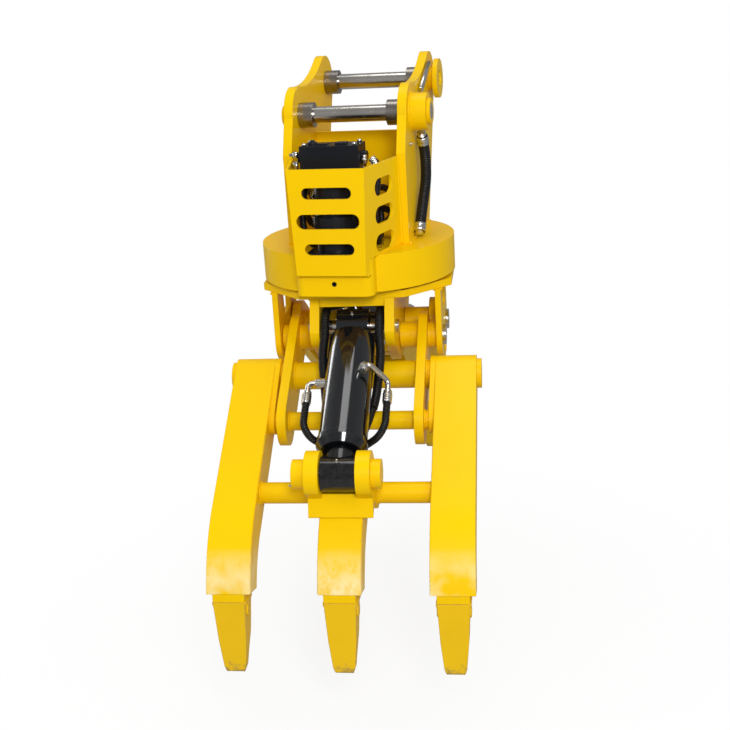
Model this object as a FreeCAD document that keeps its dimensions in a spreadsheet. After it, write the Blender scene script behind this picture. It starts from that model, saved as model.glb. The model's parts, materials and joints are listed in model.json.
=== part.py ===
import FreeCAD, Part
import Sketcher
import math
import os
import re

from FreeCAD import Placement, Rotation, Vector

# Driving sizes in millimetres, degrees or counts.
# Heights are measured from the top of the slew housing, reaches outwards from the slew axis.
SIZES = {
    # hanger ears and pins
    "pin_dia": 45, "pin_height": 341, "pin_spacing": 300, "pin_rise": 63, "pin_grip": 208,
    "ear_gap": 290, "ear_wall": 25, "ear_lobe": 78, "ear_front": 115, "ear_rear": 205,
    "ear_shoulder": 245, "ear_valley": 420, "ear_valley_lean": 29.8, "ear_crown_lean": 6.1,
    "ear_front_lean": 20, "collar_dia": 69, "pin_fit": 0.1,
    "stick_boss_dia": 100, "stick_boss_len": 46, "small_boss_dia": 62, "small_boss_len": 13,
    "lock_disc_dia": 112, "lock_disc_wall": 14, "pin_head_wall": 9, "link_boss_len": 16,
    # slew housing and its cover
    "housing_dia": 544, "housing_height": 100, "housing_wall": 14, "housing_lid": 20,
    "nose_width": 210, "nose_reach": 300, "nose_round": 24, "core_hole": 92,
    "cross_wall": 18, "cross_height": 276, "cross_setback": 142,
    "guard_reach": 318, "guard_wall": 8, "guard_top_width": 206, "guard_foot_width": 186,
    "guard_side_width": 300, "guard_top": 238, "guard_drop": 40,
    "slot_high": 30, "slot_wide_high": 39, "slot_len": 132, "slot_wide_len": 168,
    "slot_side_len": 100, "slot_side_high": 46,
    "slot_top_at": 176, "slot_mid_at": 103, "slot_low_at": 30,
    # slewing drive
    "gear_module": 6, "ring_teeth": 66, "pinion_teeth": 13, "tooth_backlash": 0.5,
    "ring_bore": 344, "ring_height": 70, "race_gap": 7, "race_wall": 26, "ball_dia": 20,
    "ball_count": 12, "ball_fit": 0.3, "pinion_width": 50, "pinion_shaft_dia": 34,
    "motor_dia": 104, "motor_height": 200, "motor_flange": 136, "motor_flange_wall": 16,
    "valve_width": 160, "valve_depth": 84, "valve_height": 66, "valve_shift": 66, "bolt_dia": 14,
    "housing_bolts": 16, "core_dia": 70, "core_length": 186, "core_flange": 130, "core_flange_wall": 12,
    "swivel_side": 118, "swivel_height": 52, "swivel_fit": 0.1,
    # turntable and its lugs
    "slew_rest": 6.4, "slew_gap": 8, "table_wall": 20, "table_width": 530, "table_depth": 432,
    "table_corner": 122, "pivot_reach": 80, "pivot_drop": 275, "pivot_pin_dia": 50,
    "outer_lug_gap": 440, "outer_lug_wall": 16, "outer_lug_reach": 137, "outer_lug_round": 61,
    "outer_lug_lean": 40, "inner_lug_lean": 32.6,
    "lug_window_width": 96, "lug_window_top": 152, "lug_window_foot": 214,
    "inner_lug_gap": 178, "inner_lug_wall": 26, "inner_lug_round": 68, "eye_lobe": 58,
    "inner_lug_reach": 216, "pin_flange_dia": 58, "pin_flange_wall": 9, "running_fit": 0.1,
    "side_play": 1.5, "brace_wall": 16, "brace_depth": 22,
    # jaw arms, tubes and tines
    "arm_length": 308, "arm_slope": 30.6, "arm_round": 65, "arm_wall": 25, "front_arm_in": 170,
    "rear_arm_in": 190, "hub_dia": 74, "top_tube_at": 147, "top_tube_dia": 76, "top_tube_bore": 52,
    "mid_tube_dia": 50, "mid_tube_bore": 30, "low_tube_dia": 55, "low_tube_bore": 33,
    "low_tube_at": 384, "weld_fit": 0.1, "tine_slope": 32.9, "tine_head": 50,
    "tine_straight": 460, "tine_bend": 313, "tine_inner_bend": 225, "tine_turn": 40.4,
    "tine_bend_depth": 95,
    "tine_end_depth": 80, "tine_skin": 14, "side_tine_width": 110, "side_tine_in": 222,
    "centre_tine_width": 106, "rear_tine_width": 100, "rear_tine_in": 87, "doubler_wall": 15,
    "cap_wall": 13, "cap_dia": 81,
    # teeth
    "nose_neck": 13, "nose_width_share": 56, "nose_length": 120, "tooth_width": 80,
    "tooth_tip_width": 56, "tooth_length": 212, "tooth_lean": 9, "tooth_tip": 20,
    "tooth_fit": 0.3, "tooth_pin_dia": 16, "tooth_pin_at": 45, "tooth_shoulder": 120,
    # jaw cylinders
    "eye_reach": 197, "eye_drop": 212, "rod_eye_reach": 625, "rod_eye_drop": 464,
    "barrel_dia": 125, "barrel_bore": 100, "barrel_start": 58, "rod_dia": 60,
    "gland_dia": 132, "gland_len": 34, "gland_gap": 8, "base_eye_dia": 96, "base_eye_width": 86,
    "base_pin_dia": 36, "base_bore": 66, "rod_eye_dia": 88, "rod_eye_width": 88,
    "rod_pin_dia": 45, "clevis_round": 58, "clevis_wall": 36, "clevis_play": 1.5,
    "clevis_cap_dia": 74, "clevis_cap_left": 34, "clevis_cap_right": 24, "piston_len": 45,
    "rod_shoulder": 96,
    # hoses and their fittings
    "hose_dia": 19, "guard_dia": 24, "guard_play": 0.5, "hose_drape": 44, "hose_leave": 28,
    "hose_aside": 74, "hose_gap": 1.3, "port_length": 17, "pipe_dia": 15, "port_dia": 26,
    "crimp_dia": 23, "supply_dia": 30,
}

doc = FreeCAD.newDocument("scrap_grapple")
sheet = doc.addObject("Spreadsheet::Sheet", "sizes")
for row, (alias, value) in enumerate(SIZES.items(), start=1):
    sheet.set(f"A{row}", str(value))
    sheet.setAlias(f"A{row}", alias)
doc.recompute()

NODES = []
COUNT = {"sketch": 0, "feature": 0}


def tied(formula):
    """A formula in size names, written as an expression on the sheet."""
    return re.sub(r"[a-z]\w*", lambda m: "sizes." + m[0] if m[0] in SIZES else m[0], str(formula))


def worth(formula):
    """The number that a formula in size names comes to."""
    answer = sheet.evalExpression(tied(formula))
    return float(getattr(answer, "Value", answer))


# Sketches and features

def frame(x_to, y_to, z_to, at=(0, 0, 0)):
    """A placement that turns the axes to the given directions."""
    return Placement(Vector(*at), Rotation(Vector(*x_to), Vector(*y_to), Vector(*z_to), "XYZ"))


def turned(angle, at=(0, 0, 0)):
    """A placement turned about Z by an angle in degrees."""
    return Placement(Vector(*at), Rotation(Vector(0, 0, 1), angle))


def new_body(name, place, kept=True):
    """An empty body at its placement; a kept one becomes a node."""
    body = doc.addObject("PartDesign::Body", name)
    body.Label = name
    body.AllowCompound = True
    body.Placement = place
    if kept:
        NODES.append(body)
    return body


def new_sketch(body, plane, start):
    """A sketch on one of the body's own planes, moved along its normal."""
    COUNT["sketch"] += 1
    sketch = body.newObject("Sketcher::SketchObject", f"sketch_{COUNT['sketch']}")
    role = plane + "_Plane"
    support = next(item for item in body.Origin.OriginFeatures if item.Role == role)
    sketch.AttachmentSupport = [(support, "")]
    sketch.MapMode = "FlatFace"
    sketch.setExpression("AttachmentOffset.Base.z", tied(start))
    return sketch


def bind(sketch, constraint, formula):
    """Add a constraint whose value follows the sheet."""
    index = sketch.addConstraint(constraint)
    sketch.setExpression(f"Constraints[{index}]", tied(formula))


def fix_point(sketch, item, end, x, y):
    """Hold a sketch point at two formulas from the origin."""
    bind(sketch, Sketcher.Constraint("DistanceX", -1, 1, item, end, worth(x)), x)
    bind(sketch, Sketcher.Constraint("DistanceY", -1, 1, item, end, worth(y)), y)


def draw_circle(sketch, x, y, radius):
    circle = Part.Circle(Vector(worth(x), worth(y), 0), Vector(0, 0, 1), worth(radius))
    item = sketch.addGeometry(circle)
    fix_point(sketch, item, 3, x, y)
    bind(sketch, Sketcher.Constraint("Radius", item, worth(radius)), radius)


def arc_through(start, end, radius, side):
    """The arc between two points, its centre left (1) or right (-1) of the way."""
    chord = end - start
    middle = (start + end) * 0.5
    left = Vector(-chord.y, chord.x, 0).normalize()
    rise = math.sqrt(max(radius ** 2 - (chord.Length / 2) ** 2, 0.0))
    centre = middle + left * (side * rise)
    first, last = (start, end) if side > 0 else (end, start)
    angles = [math.atan2(p.y - centre.y, p.x - centre.x) for p in (first, last)]
    circle = Part.Circle(centre, Vector(0, 0, 1), radius)
    return Part.ArcOfCircle(circle, angles[0], angles[1])


def draw_outline(sketch, corners):
    """A closed outline. A corner is (x, y), or (x, y, radius, side) where an arc follows it."""
    points = [Vector(worth(c[0]), worth(c[1]), 0) for c in corners]
    edges = []
    for index, corner in enumerate(corners):
        start = points[index]
        end = points[(index + 1) % len(points)]
        if len(corner) == 2:
            item = sketch.addGeometry(Part.LineSegment(start, end))
            edges.append((item, 1, 2))
        else:
            radius, side = corner[2], corner[3]
            item = sketch.addGeometry(arc_through(start, end, worth(radius), side))
            edges.append((item, 1, 2) if side > 0 else (item, 2, 1))
    for index, corner in enumerate(corners):
        item, first, last = edges[index]
        after, after_first, _ = edges[(index + 1) % len(edges)]
        sketch.addConstraint(Sketcher.Constraint("Coincident", item, last, after, after_first))
        fix_point(sketch, item, first, corner[0], corner[1])
    for (item, _, _), corner in zip(edges, corners):
        if len(corner) == 4:
            bind(sketch, Sketcher.Constraint("Radius", item, worth(corner[2])), corner[2])


def draw(sketch, loops):
    """Circles, given as three formulas, and outlines, given as lists of corners."""
    for loop in loops:
        if isinstance(loop, tuple):
            draw_circle(sketch, *loop)
        else:
            draw_outline(sketch, loop)


def feature(body, kind, sketch):
    COUNT["feature"] += 1
    made = body.newObject("PartDesign::" + kind, f"{kind.lower()}_{COUNT['feature']}")
    made.Profile = sketch
    return made


def add(body, plane, start, length, loops):
    """A pad from start, along the plane's normal."""
    sketch = new_sketch(body, plane, start)
    draw(sketch, loops)
    pad = feature(body, "Pad", sketch)
    pad.setExpression("Length", tied(length))
    return pad


def cut(body, plane, start, length, loops):
    """A pocket from start, along the plane's normal."""
    sketch = new_sketch(body, plane, start)
    draw(sketch, loops)
    pocket = feature(body, "Pocket", sketch)
    pocket.Reversed = True
    pocket.setExpression("Length", tied(length))
    return pocket


def spin(body, outline, cutting=False):
    """A profile, drawn above the body's X axis, turned about that axis."""
    sketch = new_sketch(body, "XY", "0")
    draw(sketch, [outline])
    made = feature(body, "Groove" if cutting else "Revolution", sketch)
    made.ReferenceAxis = (sketch, ["H_Axis"])
    made.Angle = 360
    return made


def spin_pattern(body, feature_made, count, axis="Z"):
    """Equal copies of a feature about the body's own axis."""
    pattern = body.newObject("PartDesign::PolarPattern", f"ring_of_{feature_made.Name}")
    pattern.Originals = [feature_made]
    role = axis + "_Axis"
    line = next(item for item in body.Origin.OriginFeatures if item.Role == role)
    pattern.Axis = (line, [""])
    pattern.Angle = 360
    pattern.setExpression("Occurrences", tied(count))
    body.Tip = pattern
    return pattern


def box(x0, x1, y0, y1):
    """The four corners of an upright rectangle."""
    return [(x0, y0), (x1, y0), (x1, y1), (x0, y1)]


def slot(x, y, length, radius):
    """A level slot with round ends, centred on a point."""
    half = f"({length}) / 2 - ({radius})"
    return [
        (f"{x} - ({half})", f"{y} - ({radius})"),
        (f"{x} + ({half})", f"{y} - ({radius})", radius, 1),
        (f"{x} + ({half}) + ({radius})", f"{y}", radius, 1),
        (f"{x} + ({half})", f"{y} + ({radius})"),
        (f"{x} - ({half})", f"{y} + ({radius})", radius, 1),
        (f"{x} - ({half}) - ({radius})", f"{y}", radius, 1),
    ]


def link_outline(length, radius, far_radius=None):
    """A bar with a half-round at the origin and another at its far end."""
    far = far_radius or radius
    return [
        ("0", f"-({radius})"),
        (f"{length}", f"-({far})", far, 1),
        (f"{length} + ({far})", "0", far, 1),
        (f"{length}", f"({far})"),
        ("0", f"({radius})", radius, 1),
        (f"-({radius})", "0", radius, 1),
    ]


# Places. The hanger's main pin is the origin; the parts below the slewing ring stand turned.
UPPER = Placement(Vector(0, 0, -worth("pin_height")), Rotation())
LOWER = UPPER.multiply(turned(worth("slew_rest")))
# Profile frames: X is the reach from the slew axis, Y is up and Z is to the side.
SIDES = {
    "front": LOWER.multiply(frame((0, -1, 0), (0, 0, 1), (-1, 0, 0))),
    "rear": LOWER.multiply(frame((0, 1, 0), (0, 0, 1), (1, 0, 0))),
}
# The side direction of the front profile frame points left, and that of the rear one right.
HANDS = {"front": {"left": 1, "right": -1}, "rear": {"left": -1, "right": 1}}


def span(side, inner, outer):
    """Start and length of a pad between two distances from the middle plane."""
    start = inner if side > 0 else f"-({outer})"
    return f"{start}", f"({outer}) - ({inner})"


# Hanger

EAR_OUT = "ear_gap / 2 + ear_wall"


def make_ear(name, side):
    """One upright of the hanger, with two lobes for the pins and an arched foot."""
    ear = new_body(name, UPPER)
    outline = [
        ("-ear_front", "0"),
        ("ear_rear", "0"),
        ("pin_spacing + ear_lobe", "pin_height + pin_rise", "ear_lobe", 1),
        ("pin_spacing", "pin_height + pin_rise + ear_lobe", "ear_lobe", 1),
        (
            "pin_spacing - ear_lobe * sin(ear_valley_lean)",
            "pin_height + pin_rise + ear_lobe * cos(ear_valley_lean)",
            "ear_valley",
            -1,
        ),
        ("ear_lobe * sin(ear_crown_lean)", "pin_height + ear_lobe * cos(ear_crown_lean)", "ear_lobe", 1),
        ("-ear_lobe * cos(ear_front_lean)", "pin_height + ear_lobe * sin(ear_front_lean)", "ear_lobe", 1),
        ("-ear_lobe", "pin_height"),
        ("-ear_front", "ear_shoulder"),
    ]
    start, length = span(side, "ear_gap / 2", EAR_OUT)
    add(ear, "YZ", start, length, [outline])
    holes = [
        ("0", "pin_height", "pin_dia / 2 + pin_fit"),
        ("pin_spacing", "pin_height + pin_rise", "pin_dia / 2 + pin_fit"),
    ]
    cut(ear, "YZ", start, length, holes)


def ring(x, y, outer, inner):
    return [(x, y, outer), (x, y, inner)]


def make_hanger():
    make_ear("ear_left", -1)
    make_ear("ear_right", 1)
    bore = "pin_dia / 2 + pin_fit"
    stick = ("0", "pin_height")
    link = ("pin_spacing", "pin_height + pin_rise")
    bosses = new_body("ear_bosses", UPPER)
    add(bosses, "YZ", EAR_OUT, "stick_boss_len", ring(*stick, "stick_boss_dia / 2", bore))
    add(bosses, "YZ", EAR_OUT, "link_boss_len", ring(*link, "small_boss_dia / 2", bore))
    left = f"-({EAR_OUT}) - small_boss_len"
    add(bosses, "YZ", left, "small_boss_len", ring(*stick, "small_boss_dia / 2", bore))
    add(bosses, "YZ", left, "small_boss_len", ring(*link, "small_boss_dia / 2", bore))

    collars = new_body("pin_collars", UPPER)
    for y, z in (stick, link):
        for side in (-1, 1):
            start, length = span(side, "pin_grip / 2", "ear_gap / 2")
            add(collars, "YZ", start, length, ring(y, z, "collar_dia / 2", bore))

    ends = (("stick_pin", stick, "stick_boss_len"), ("link_pin", link, "link_boss_len"))
    for name, (y, z), boss in ends:
        pin = new_body(name, UPPER)
        left_end = f"-({EAR_OUT}) - small_boss_len - pin_head_wall"
        length = f"2 * ({EAR_OUT}) + small_boss_len + {boss} + 2 * pin_head_wall"
        add(pin, "YZ", left_end, length, [(y, z, "pin_dia / 2")])

    locks = new_body("pin_locks", UPPER)
    discs = (
        (link, f"{EAR_OUT} + link_boss_len", "lock_disc_dia / 2", "lock_disc_wall"),
        (stick, f"{EAR_OUT} + stick_boss_len", "collar_dia / 2", "pin_head_wall"),
        (stick, f"-({EAR_OUT}) - small_boss_len - pin_head_wall", "pin_dia / 2 + 5", "pin_head_wall"),
        (link, f"-({EAR_OUT}) - small_boss_len - pin_head_wall", "pin_dia / 2 + 5", "pin_head_wall"),
    )
    for (y, z), start, radius, wall in discs:
        add(locks, "YZ", start, wall, ring(y, z, radius, bore))

    cross = new_body("cross_plate", UPPER)
    half = "ear_gap / 2"
    plan = box(f"-{half}", half, "cross_setback", "cross_setback + cross_wall")
    add(cross, "XY", "0", "cross_height", [plan])


# Slew housing, guard and drive

PINION_AT = "gear_module * (ring_teeth + pinion_teeth) / 2 + tooth_backlash"


def make_housing():
    """A round casing, open below, with a nose in front for the pinion."""
    housing = new_body("slew_housing", UPPER)
    add(housing, "XY", "-housing_height", "housing_height", [("0", "0", "housing_dia / 2")])
    nose = [
        ("-nose_width / 2", "-housing_dia / 4"),
        ("-nose_width / 2", "-nose_reach + nose_round", "nose_round", 1),
        ("-nose_width / 2 + nose_round", "-nose_reach"),
        ("nose_width / 2 - nose_round", "-nose_reach", "nose_round", 1),
        ("nose_width / 2", "-nose_reach + nose_round"),
        ("nose_width / 2", "-housing_dia / 4"),
    ]
    add(housing, "XY", "-housing_height", "housing_height", [nose])
    deep = "housing_height - housing_lid"
    pinion_room = "gear_module * (pinion_teeth + 2) / 2 + 5"
    cut(housing, "XY", "-housing_height", deep, [("0", "0", "housing_dia / 2 - housing_wall")])
    cut(housing, "XY", "-housing_height", deep, [("0", f"-({PINION_AT})", pinion_room)])
    cut(housing, "XY", "-housing_lid", "housing_lid", [("0", "0", "core_hole / 2")])
    shaft = ("0", f"-({PINION_AT})", "pinion_shaft_dia / 2 + 3")
    cut(housing, "XY", "-housing_lid", "housing_lid", [shaft])



def make_guard():
    """A folded three-sided shield round the swing motor, wider above, with rows of slots."""
    guard = new_body("motor_guard", UPPER)

    def ring_outline(front):
        fold = f"{front} / 2"
        rim = "guard_side_width / 2"
        wall = "guard_wall"
        return [
            (f"-{rim}", "-ear_front"),
            (f"-{fold}", "-guard_reach"),
            (f"{fold}", "-guard_reach"),
            (rim, "-ear_front"),
            (f"{rim} - {wall} * 1.1", "-ear_front"),
            (f"{fold} - {wall} * 0.6", f"-guard_reach + {wall}"),
            (f"-{fold} + {wall} * 0.6", f"-guard_reach + {wall}"),
            (f"-{rim} + {wall} * 1.1", "-ear_front"),
        ]

    foot = new_sketch(guard, "XY", "-guard_drop")
    draw(foot, [ring_outline("guard_foot_width")])
    head = new_sketch(guard, "XY", "guard_top")
    draw(head, [ring_outline("guard_top_width")])
    shell = feature(guard, "AdditiveLoft", foot)
    shell.Sections = [head]
    shell.Ruled = True
    behind = box("-guard_side_width", "guard_side_width", "-nose_reach - weld_fit", "0")
    cut(guard, "XY", "-guard_drop", "guard_drop", [behind])
    rows = (
        ("slot_top_at", "slot_len", "slot_high / 2"),
        ("slot_mid_at", "slot_wide_len", "slot_wide_high / 2"),
        ("slot_low_at", "slot_len", "slot_high / 2"),
    )
    front_slots = [slot("0", height, length, radius) for height, length, radius in rows]
    cut(guard, "XZ", "guard_reach - 2 * guard_wall", "4 * guard_wall", front_slots)
    side_slots = [
        slot("-(guard_reach + ear_front) / 2 + 8", height, "slot_side_len", "slot_side_high / 2")
        for height, _, radius in rows
    ]
    cut(guard, "YZ", "-guard_side_width / 2", "guard_side_width", side_slots)


def make_gear(name, place, teeth, start, width, bore, phase):
    """A spur gear: one flank-sided tooth, copied round its rim."""
    gear = new_body(name, place.multiply(turned(phase)))
    root = f"gear_module * ({teeth} - 2.5) / 2"
    tip = f"gear_module * ({teeth} + 2) / 2"
    add(gear, "XY", start, width, ring("0", "0", root, f"{bore} / 2"))
    inside = f"{root} - 2"
    tooth = [
        (inside, "-gear_module * 0.95"),
        (root, "-gear_module * 0.95"),
        (tip, "-gear_module * 0.38"),
        (tip, "gear_module * 0.38"),
        (root, "gear_module * 0.95"),
        (inside, "gear_module * 0.95"),
    ]
    first = add(gear, "XY", start, width, [tooth])
    spin_pattern(gear, first, teeth)
    return gear


def make_drive():
    """Swing motor on the lid, its pinion, and the toothed slewing ring that it turns."""
    at_pinion = UPPER.multiply(Placement(Vector(0, -worth(PINION_AT), 0), Rotation()))
    motor = new_body("swing_motor", at_pinion)
    half = "motor_flange / 2"
    base = "motor_flange_wall"
    collar = f"{base} + motor_height * 0.3"
    add(motor, "XY", "0", base, [box(f"-{half}", half, f"-{half}", half)])
    add(motor, "XY", base, "motor_height", [("0", "0", "motor_dia / 2")])
    add(motor, "XY", collar, "motor_height * 0.16", [("0", "0", "motor_dia / 2 + motor_flange_wall / 2")])
    cut(motor, "XY", "0", base, [("0", "0", "pinion_shaft_dia / 2 + running_fit")])

    valve = new_body("relief_valve_block", at_pinion)
    top = f"{base} + motor_height"
    near, far = "valve_shift - valve_depth / 2", "valve_shift + valve_depth / 2"
    plan = box("-valve_width / 2 - bolt_dia", "valve_width / 2 - bolt_dia", near, far)
    add(valve, "XY", top, "valve_height", [plan])
    for end in ("-valve_width / 2 - 2 * bolt_dia", "valve_width / 2 - bolt_dia"):
        add(valve, "YZ", end, "bolt_dia", [("valve_shift", f"{top} + valve_height / 2", "bolt_dia")])

    low = "-housing_lid - race_gap - pinion_width"
    phase = 90 + 180 / worth("pinion_teeth")
    pinion = make_gear(
        "swing_pinion", at_pinion, "pinion_teeth", low, "pinion_width", "pinion_shaft_dia / 2", phase
    )
    reach = f"pinion_width + race_gap + housing_lid + {base} - 1"
    add(pinion, "XY", low, reach, [("0", "0", "pinion_shaft_dia / 2")])

    inner_out = "ring_bore / 2 - race_gap"
    inner_in = f"{inner_out} - race_wall"
    inner_low = "-housing_lid - ring_height + 4"
    ball_low = "-housing_lid - ring_height / 2 - race_gap"
    ball_room = "(ball_dia / 2 + ball_fit)"
    mouth = f"sqrt({ball_room}^2 - (race_gap / 2)^2)"
    inner = new_body("slew_ring_inner", UPPER)
    race = [
        (inner_in, inner_low),
        (inner_out, inner_low),
        (inner_out, f"{ball_low} - {mouth}", ball_room, -1),
        (inner_out, f"{ball_low} + {mouth}"),
        (inner_out, "-housing_lid"),
        (inner_in, "-housing_lid"),
    ]
    profile = new_sketch(inner, "XZ", "0")
    draw(profile, [race])
    turned_ring = feature(inner, "Revolution", profile)
    turned_ring.ReferenceAxis = (profile, ["V_Axis"])
    turned_ring.Angle = 360

    outer = make_gear(
        "slew_ring_gear",
        LOWER,
        "ring_teeth",
        "-housing_height - slew_gap",
        "ring_height",
        "ring_bore",
        -90 - worth("slew_rest"),
    )
    profile = new_sketch(outer, "XZ", "0")
    draw_circle(profile, "ring_bore / 2 - race_gap / 2", ball_low, ball_room)
    groove = feature(outer, "Groove", profile)
    groove.ReferenceAxis = (profile, ["V_Axis"])
    groove.Angle = 360

    ball_at = Vector(worth("ring_bore / 2 - race_gap / 2"), 0, worth(ball_low))
    balls = doc.addObject("Part::Compound", "slew_balls")
    beads = []
    for index in range(int(worth("ball_count"))):
        angle = index * 360 / worth("ball_count")
        bead = doc.addObject("Part::Sphere", f"ball_{index}")
        bead.setExpression("Radius", tied("ball_dia / 2"))
        bead.Placement = Placement(Rotation(Vector(0, 0, 1), angle).multVec(ball_at), Rotation())
        beads.append(bead)
    balls.Links = beads
    balls.Placement = UPPER
    NODES.append(balls)

    bolt_ring = f"({inner_out} + {inner_in}) / 2"
    bolts = new_body("ring_bolts", UPPER)
    head = [(bolt_ring, "0", "bolt_dia * 0.75")]
    first = add(bolts, "XY", f"{inner_low} - bolt_dia * 0.6", "bolt_dia * 0.6", head)
    spin_pattern(bolts, first, "housing_bolts")

    core = new_body("swivel_core", UPPER)
    add(core, "XY", "0", "core_flange_wall", [("0", "0", "core_flange / 2")])
    add(core, "XY", "-core_length", "core_length", [("0", "0", "core_dia / 2")])
    keeper = [("0", "0", "core_dia * 0.63")]
    add(core, "XY", "-core_length - core_flange_wall / 2", "core_flange_wall / 2", keeper)


# Turntable, which carries both jaws

TABLE_LOW = "-housing_height - slew_gap - table_wall"


def make_lugs():
    """Two outer and two inner plates below the turntable, with lobes for the pins."""
    pin_bore = "pivot_pin_dia / 2 + pin_fit"
    pivots = [("-pivot_reach", "-pivot_drop", pin_bore), ("pivot_reach", "-pivot_drop", pin_bore)]
    heel = "outer_lug_round * sin(outer_lug_lean)"
    foot = "-pivot_drop - outer_lug_round * cos(outer_lug_lean)"
    outer_shape = [
        ("outer_lug_reach", TABLE_LOW),
        ("-outer_lug_reach", TABLE_LOW),
        ("-pivot_reach - outer_lug_round", "-pivot_drop", "outer_lug_round", 1),
        ("-pivot_reach", "-pivot_drop - outer_lug_round", "outer_lug_round", 1),
        (f"-pivot_reach + {heel}", foot),
        (f"pivot_reach - {heel}", foot, "outer_lug_round", 1),
        ("pivot_reach", "-pivot_drop - outer_lug_round", "outer_lug_round", 1),
        ("pivot_reach + outer_lug_round", "-pivot_drop"),
    ]
    half = "lug_window_width / 2"
    window = [
        (f"-{half}", "-lug_window_foot"),
        (half, "-lug_window_foot"),
        (f"{half} + 6", "-lug_window_top"),
        (f"-{half} - 6", "-lug_window_top"),
    ]
    outer = new_body("outer_lugs", LOWER)
    for side in (-1, 1):
        start, length = span(side, "outer_lug_gap / 2", "outer_lug_gap / 2 + outer_lug_wall")
        add(outer, "YZ", start, length, [outer_shape, window] + pivots)

    eye_lean = "inner_lug_lean"
    inner_shape = [
        ("inner_lug_reach", TABLE_LOW),
        ("-inner_lug_reach", TABLE_LOW),
        ("-eye_reach - eye_lobe", "-eye_drop", "eye_lobe", 1),
        (f"-eye_reach - eye_lobe * sin({eye_lean})", f"-eye_drop - eye_lobe * cos({eye_lean})"),
        (
            f"-pivot_reach - inner_lug_round * sin({eye_lean})",
            f"-pivot_drop - inner_lug_round * cos({eye_lean})",
            "inner_lug_round",
            1,
        ),
        ("-pivot_reach", "-pivot_drop - inner_lug_round"),
        ("pivot_reach", "-pivot_drop - inner_lug_round", "inner_lug_round", 1),
        (
            f"pivot_reach + inner_lug_round * sin({eye_lean})",
            f"-pivot_drop - inner_lug_round * cos({eye_lean})",
        ),
        (f"eye_reach + eye_lobe * sin({eye_lean})", f"-eye_drop - eye_lobe * cos({eye_lean})", "eye_lobe", 1),
        ("eye_reach + eye_lobe", "-eye_drop"),
    ]
    eye_bore = "base_pin_dia / 2 + pin_fit"
    eyes = [("-eye_reach", "-eye_drop", eye_bore), ("eye_reach", "-eye_drop", eye_bore)]
    inner = new_body("inner_lugs", LOWER)
    inner_out = "inner_lug_gap / 2 + inner_lug_wall"
    for side in (-1, 1):
        start, length = span(side, "inner_lug_gap / 2", inner_out)
        add(inner, "YZ", start, length, [inner_shape] + pivots + eyes)

    wide = "inner_lug_gap / 2"
    for side in (-1, 1):
        start, length = span(side, "inner_lug_reach - brace_wall", "inner_lug_reach")
        plan = box(f"-{wide}", wide, start, f"{start} + {length}")
        add(inner, "XY", f"{TABLE_LOW} - brace_depth", "brace_depth", [plan])

    pins = new_body("jaw_pins", LOWER)
    pin_end = "outer_lug_gap / 2 + outer_lug_wall"
    for y in ("-pivot_reach", "pivot_reach"):
        start = f"-({pin_end}) - pin_flange_wall / 2"
        length = f"2 * ({pin_end}) + pin_flange_wall / 2"
        add(pins, "YZ", start, length, [(y, "-pivot_drop", "pivot_pin_dia / 2")])
        add(pins, "YZ", pin_end, "pin_flange_wall", [(y, "-pivot_drop", "pin_flange_dia / 2")])

    base_pins = new_body("base_pins", LOWER)
    for y in ("-eye_reach", "eye_reach"):
        start = f"-({inner_out}) - pin_flange_wall"
        length = f"2 * ({inner_out}) + 2 * pin_flange_wall"
        add(base_pins, "YZ", start, length, [(y, "-eye_drop", "base_pin_dia / 2")])


def make_turntable():
    plate = new_body("turntable_plate", LOWER)
    wide, deep, corner = "table_width / 2", "table_depth / 2", "table_corner"
    outline = [
        (f"-{wide} + {corner}", f"-{deep}"),
        (f"{wide} - {corner}", f"-{deep}"),
        (wide, f"-{deep} + {corner}"),
        (wide, f"{deep} - {corner}"),
        (f"{wide} - {corner}", deep),
        (f"-{wide} + {corner}", deep),
        (f"-{wide}", f"{deep} - {corner}"),
        (f"-{wide}", f"-{deep} + {corner}"),
    ]
    add(plate, "XY", TABLE_LOW, "table_wall", [outline, ("0", "0", "core_hole / 2")])
    bolts = new_body("plate_bolts", LOWER.multiply(turned(15)))
    head = [("ring_bore / 2 + race_gap + 4", "0", "bolt_dia * 0.75")]
    first = add(bolts, "XY", f"{TABLE_LOW} - bolt_dia * 0.6", "bolt_dia * 0.6", head)
    spin_pattern(bolts, first, "12")
    swivel = new_body("swivel_body", LOWER)
    half = "swivel_side / 2"
    low = f"{TABLE_LOW} - swivel_height"
    block = box(f"-{half}", half, f"-{half}", half)
    add(swivel, "XY", low, "swivel_height", [block, ("0", "0", "core_dia / 2 + swivel_fit")])


# Jaws. A profile is drawn with X along the reach and Y upwards.

TOP_X = "pivot_reach + top_tube_at * cos(arm_slope)"
TOP_Y = "-pivot_drop - top_tube_at * sin(arm_slope)"
EYE_S = f"((rod_eye_reach - ({TOP_X})) * cos(tine_slope) + (rod_eye_drop + ({TOP_Y})) * sin(tine_slope))"
EYE_T = f"((rod_eye_reach - ({TOP_X})) * sin(tine_slope) - (rod_eye_drop + ({TOP_Y})) * cos(tine_slope))"

MID_S = "((arm_length - top_tube_at) * cos(tine_slope - arm_slope))"
MID_T = "((arm_length - top_tube_at) * sin(tine_slope - arm_slope))"


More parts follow.
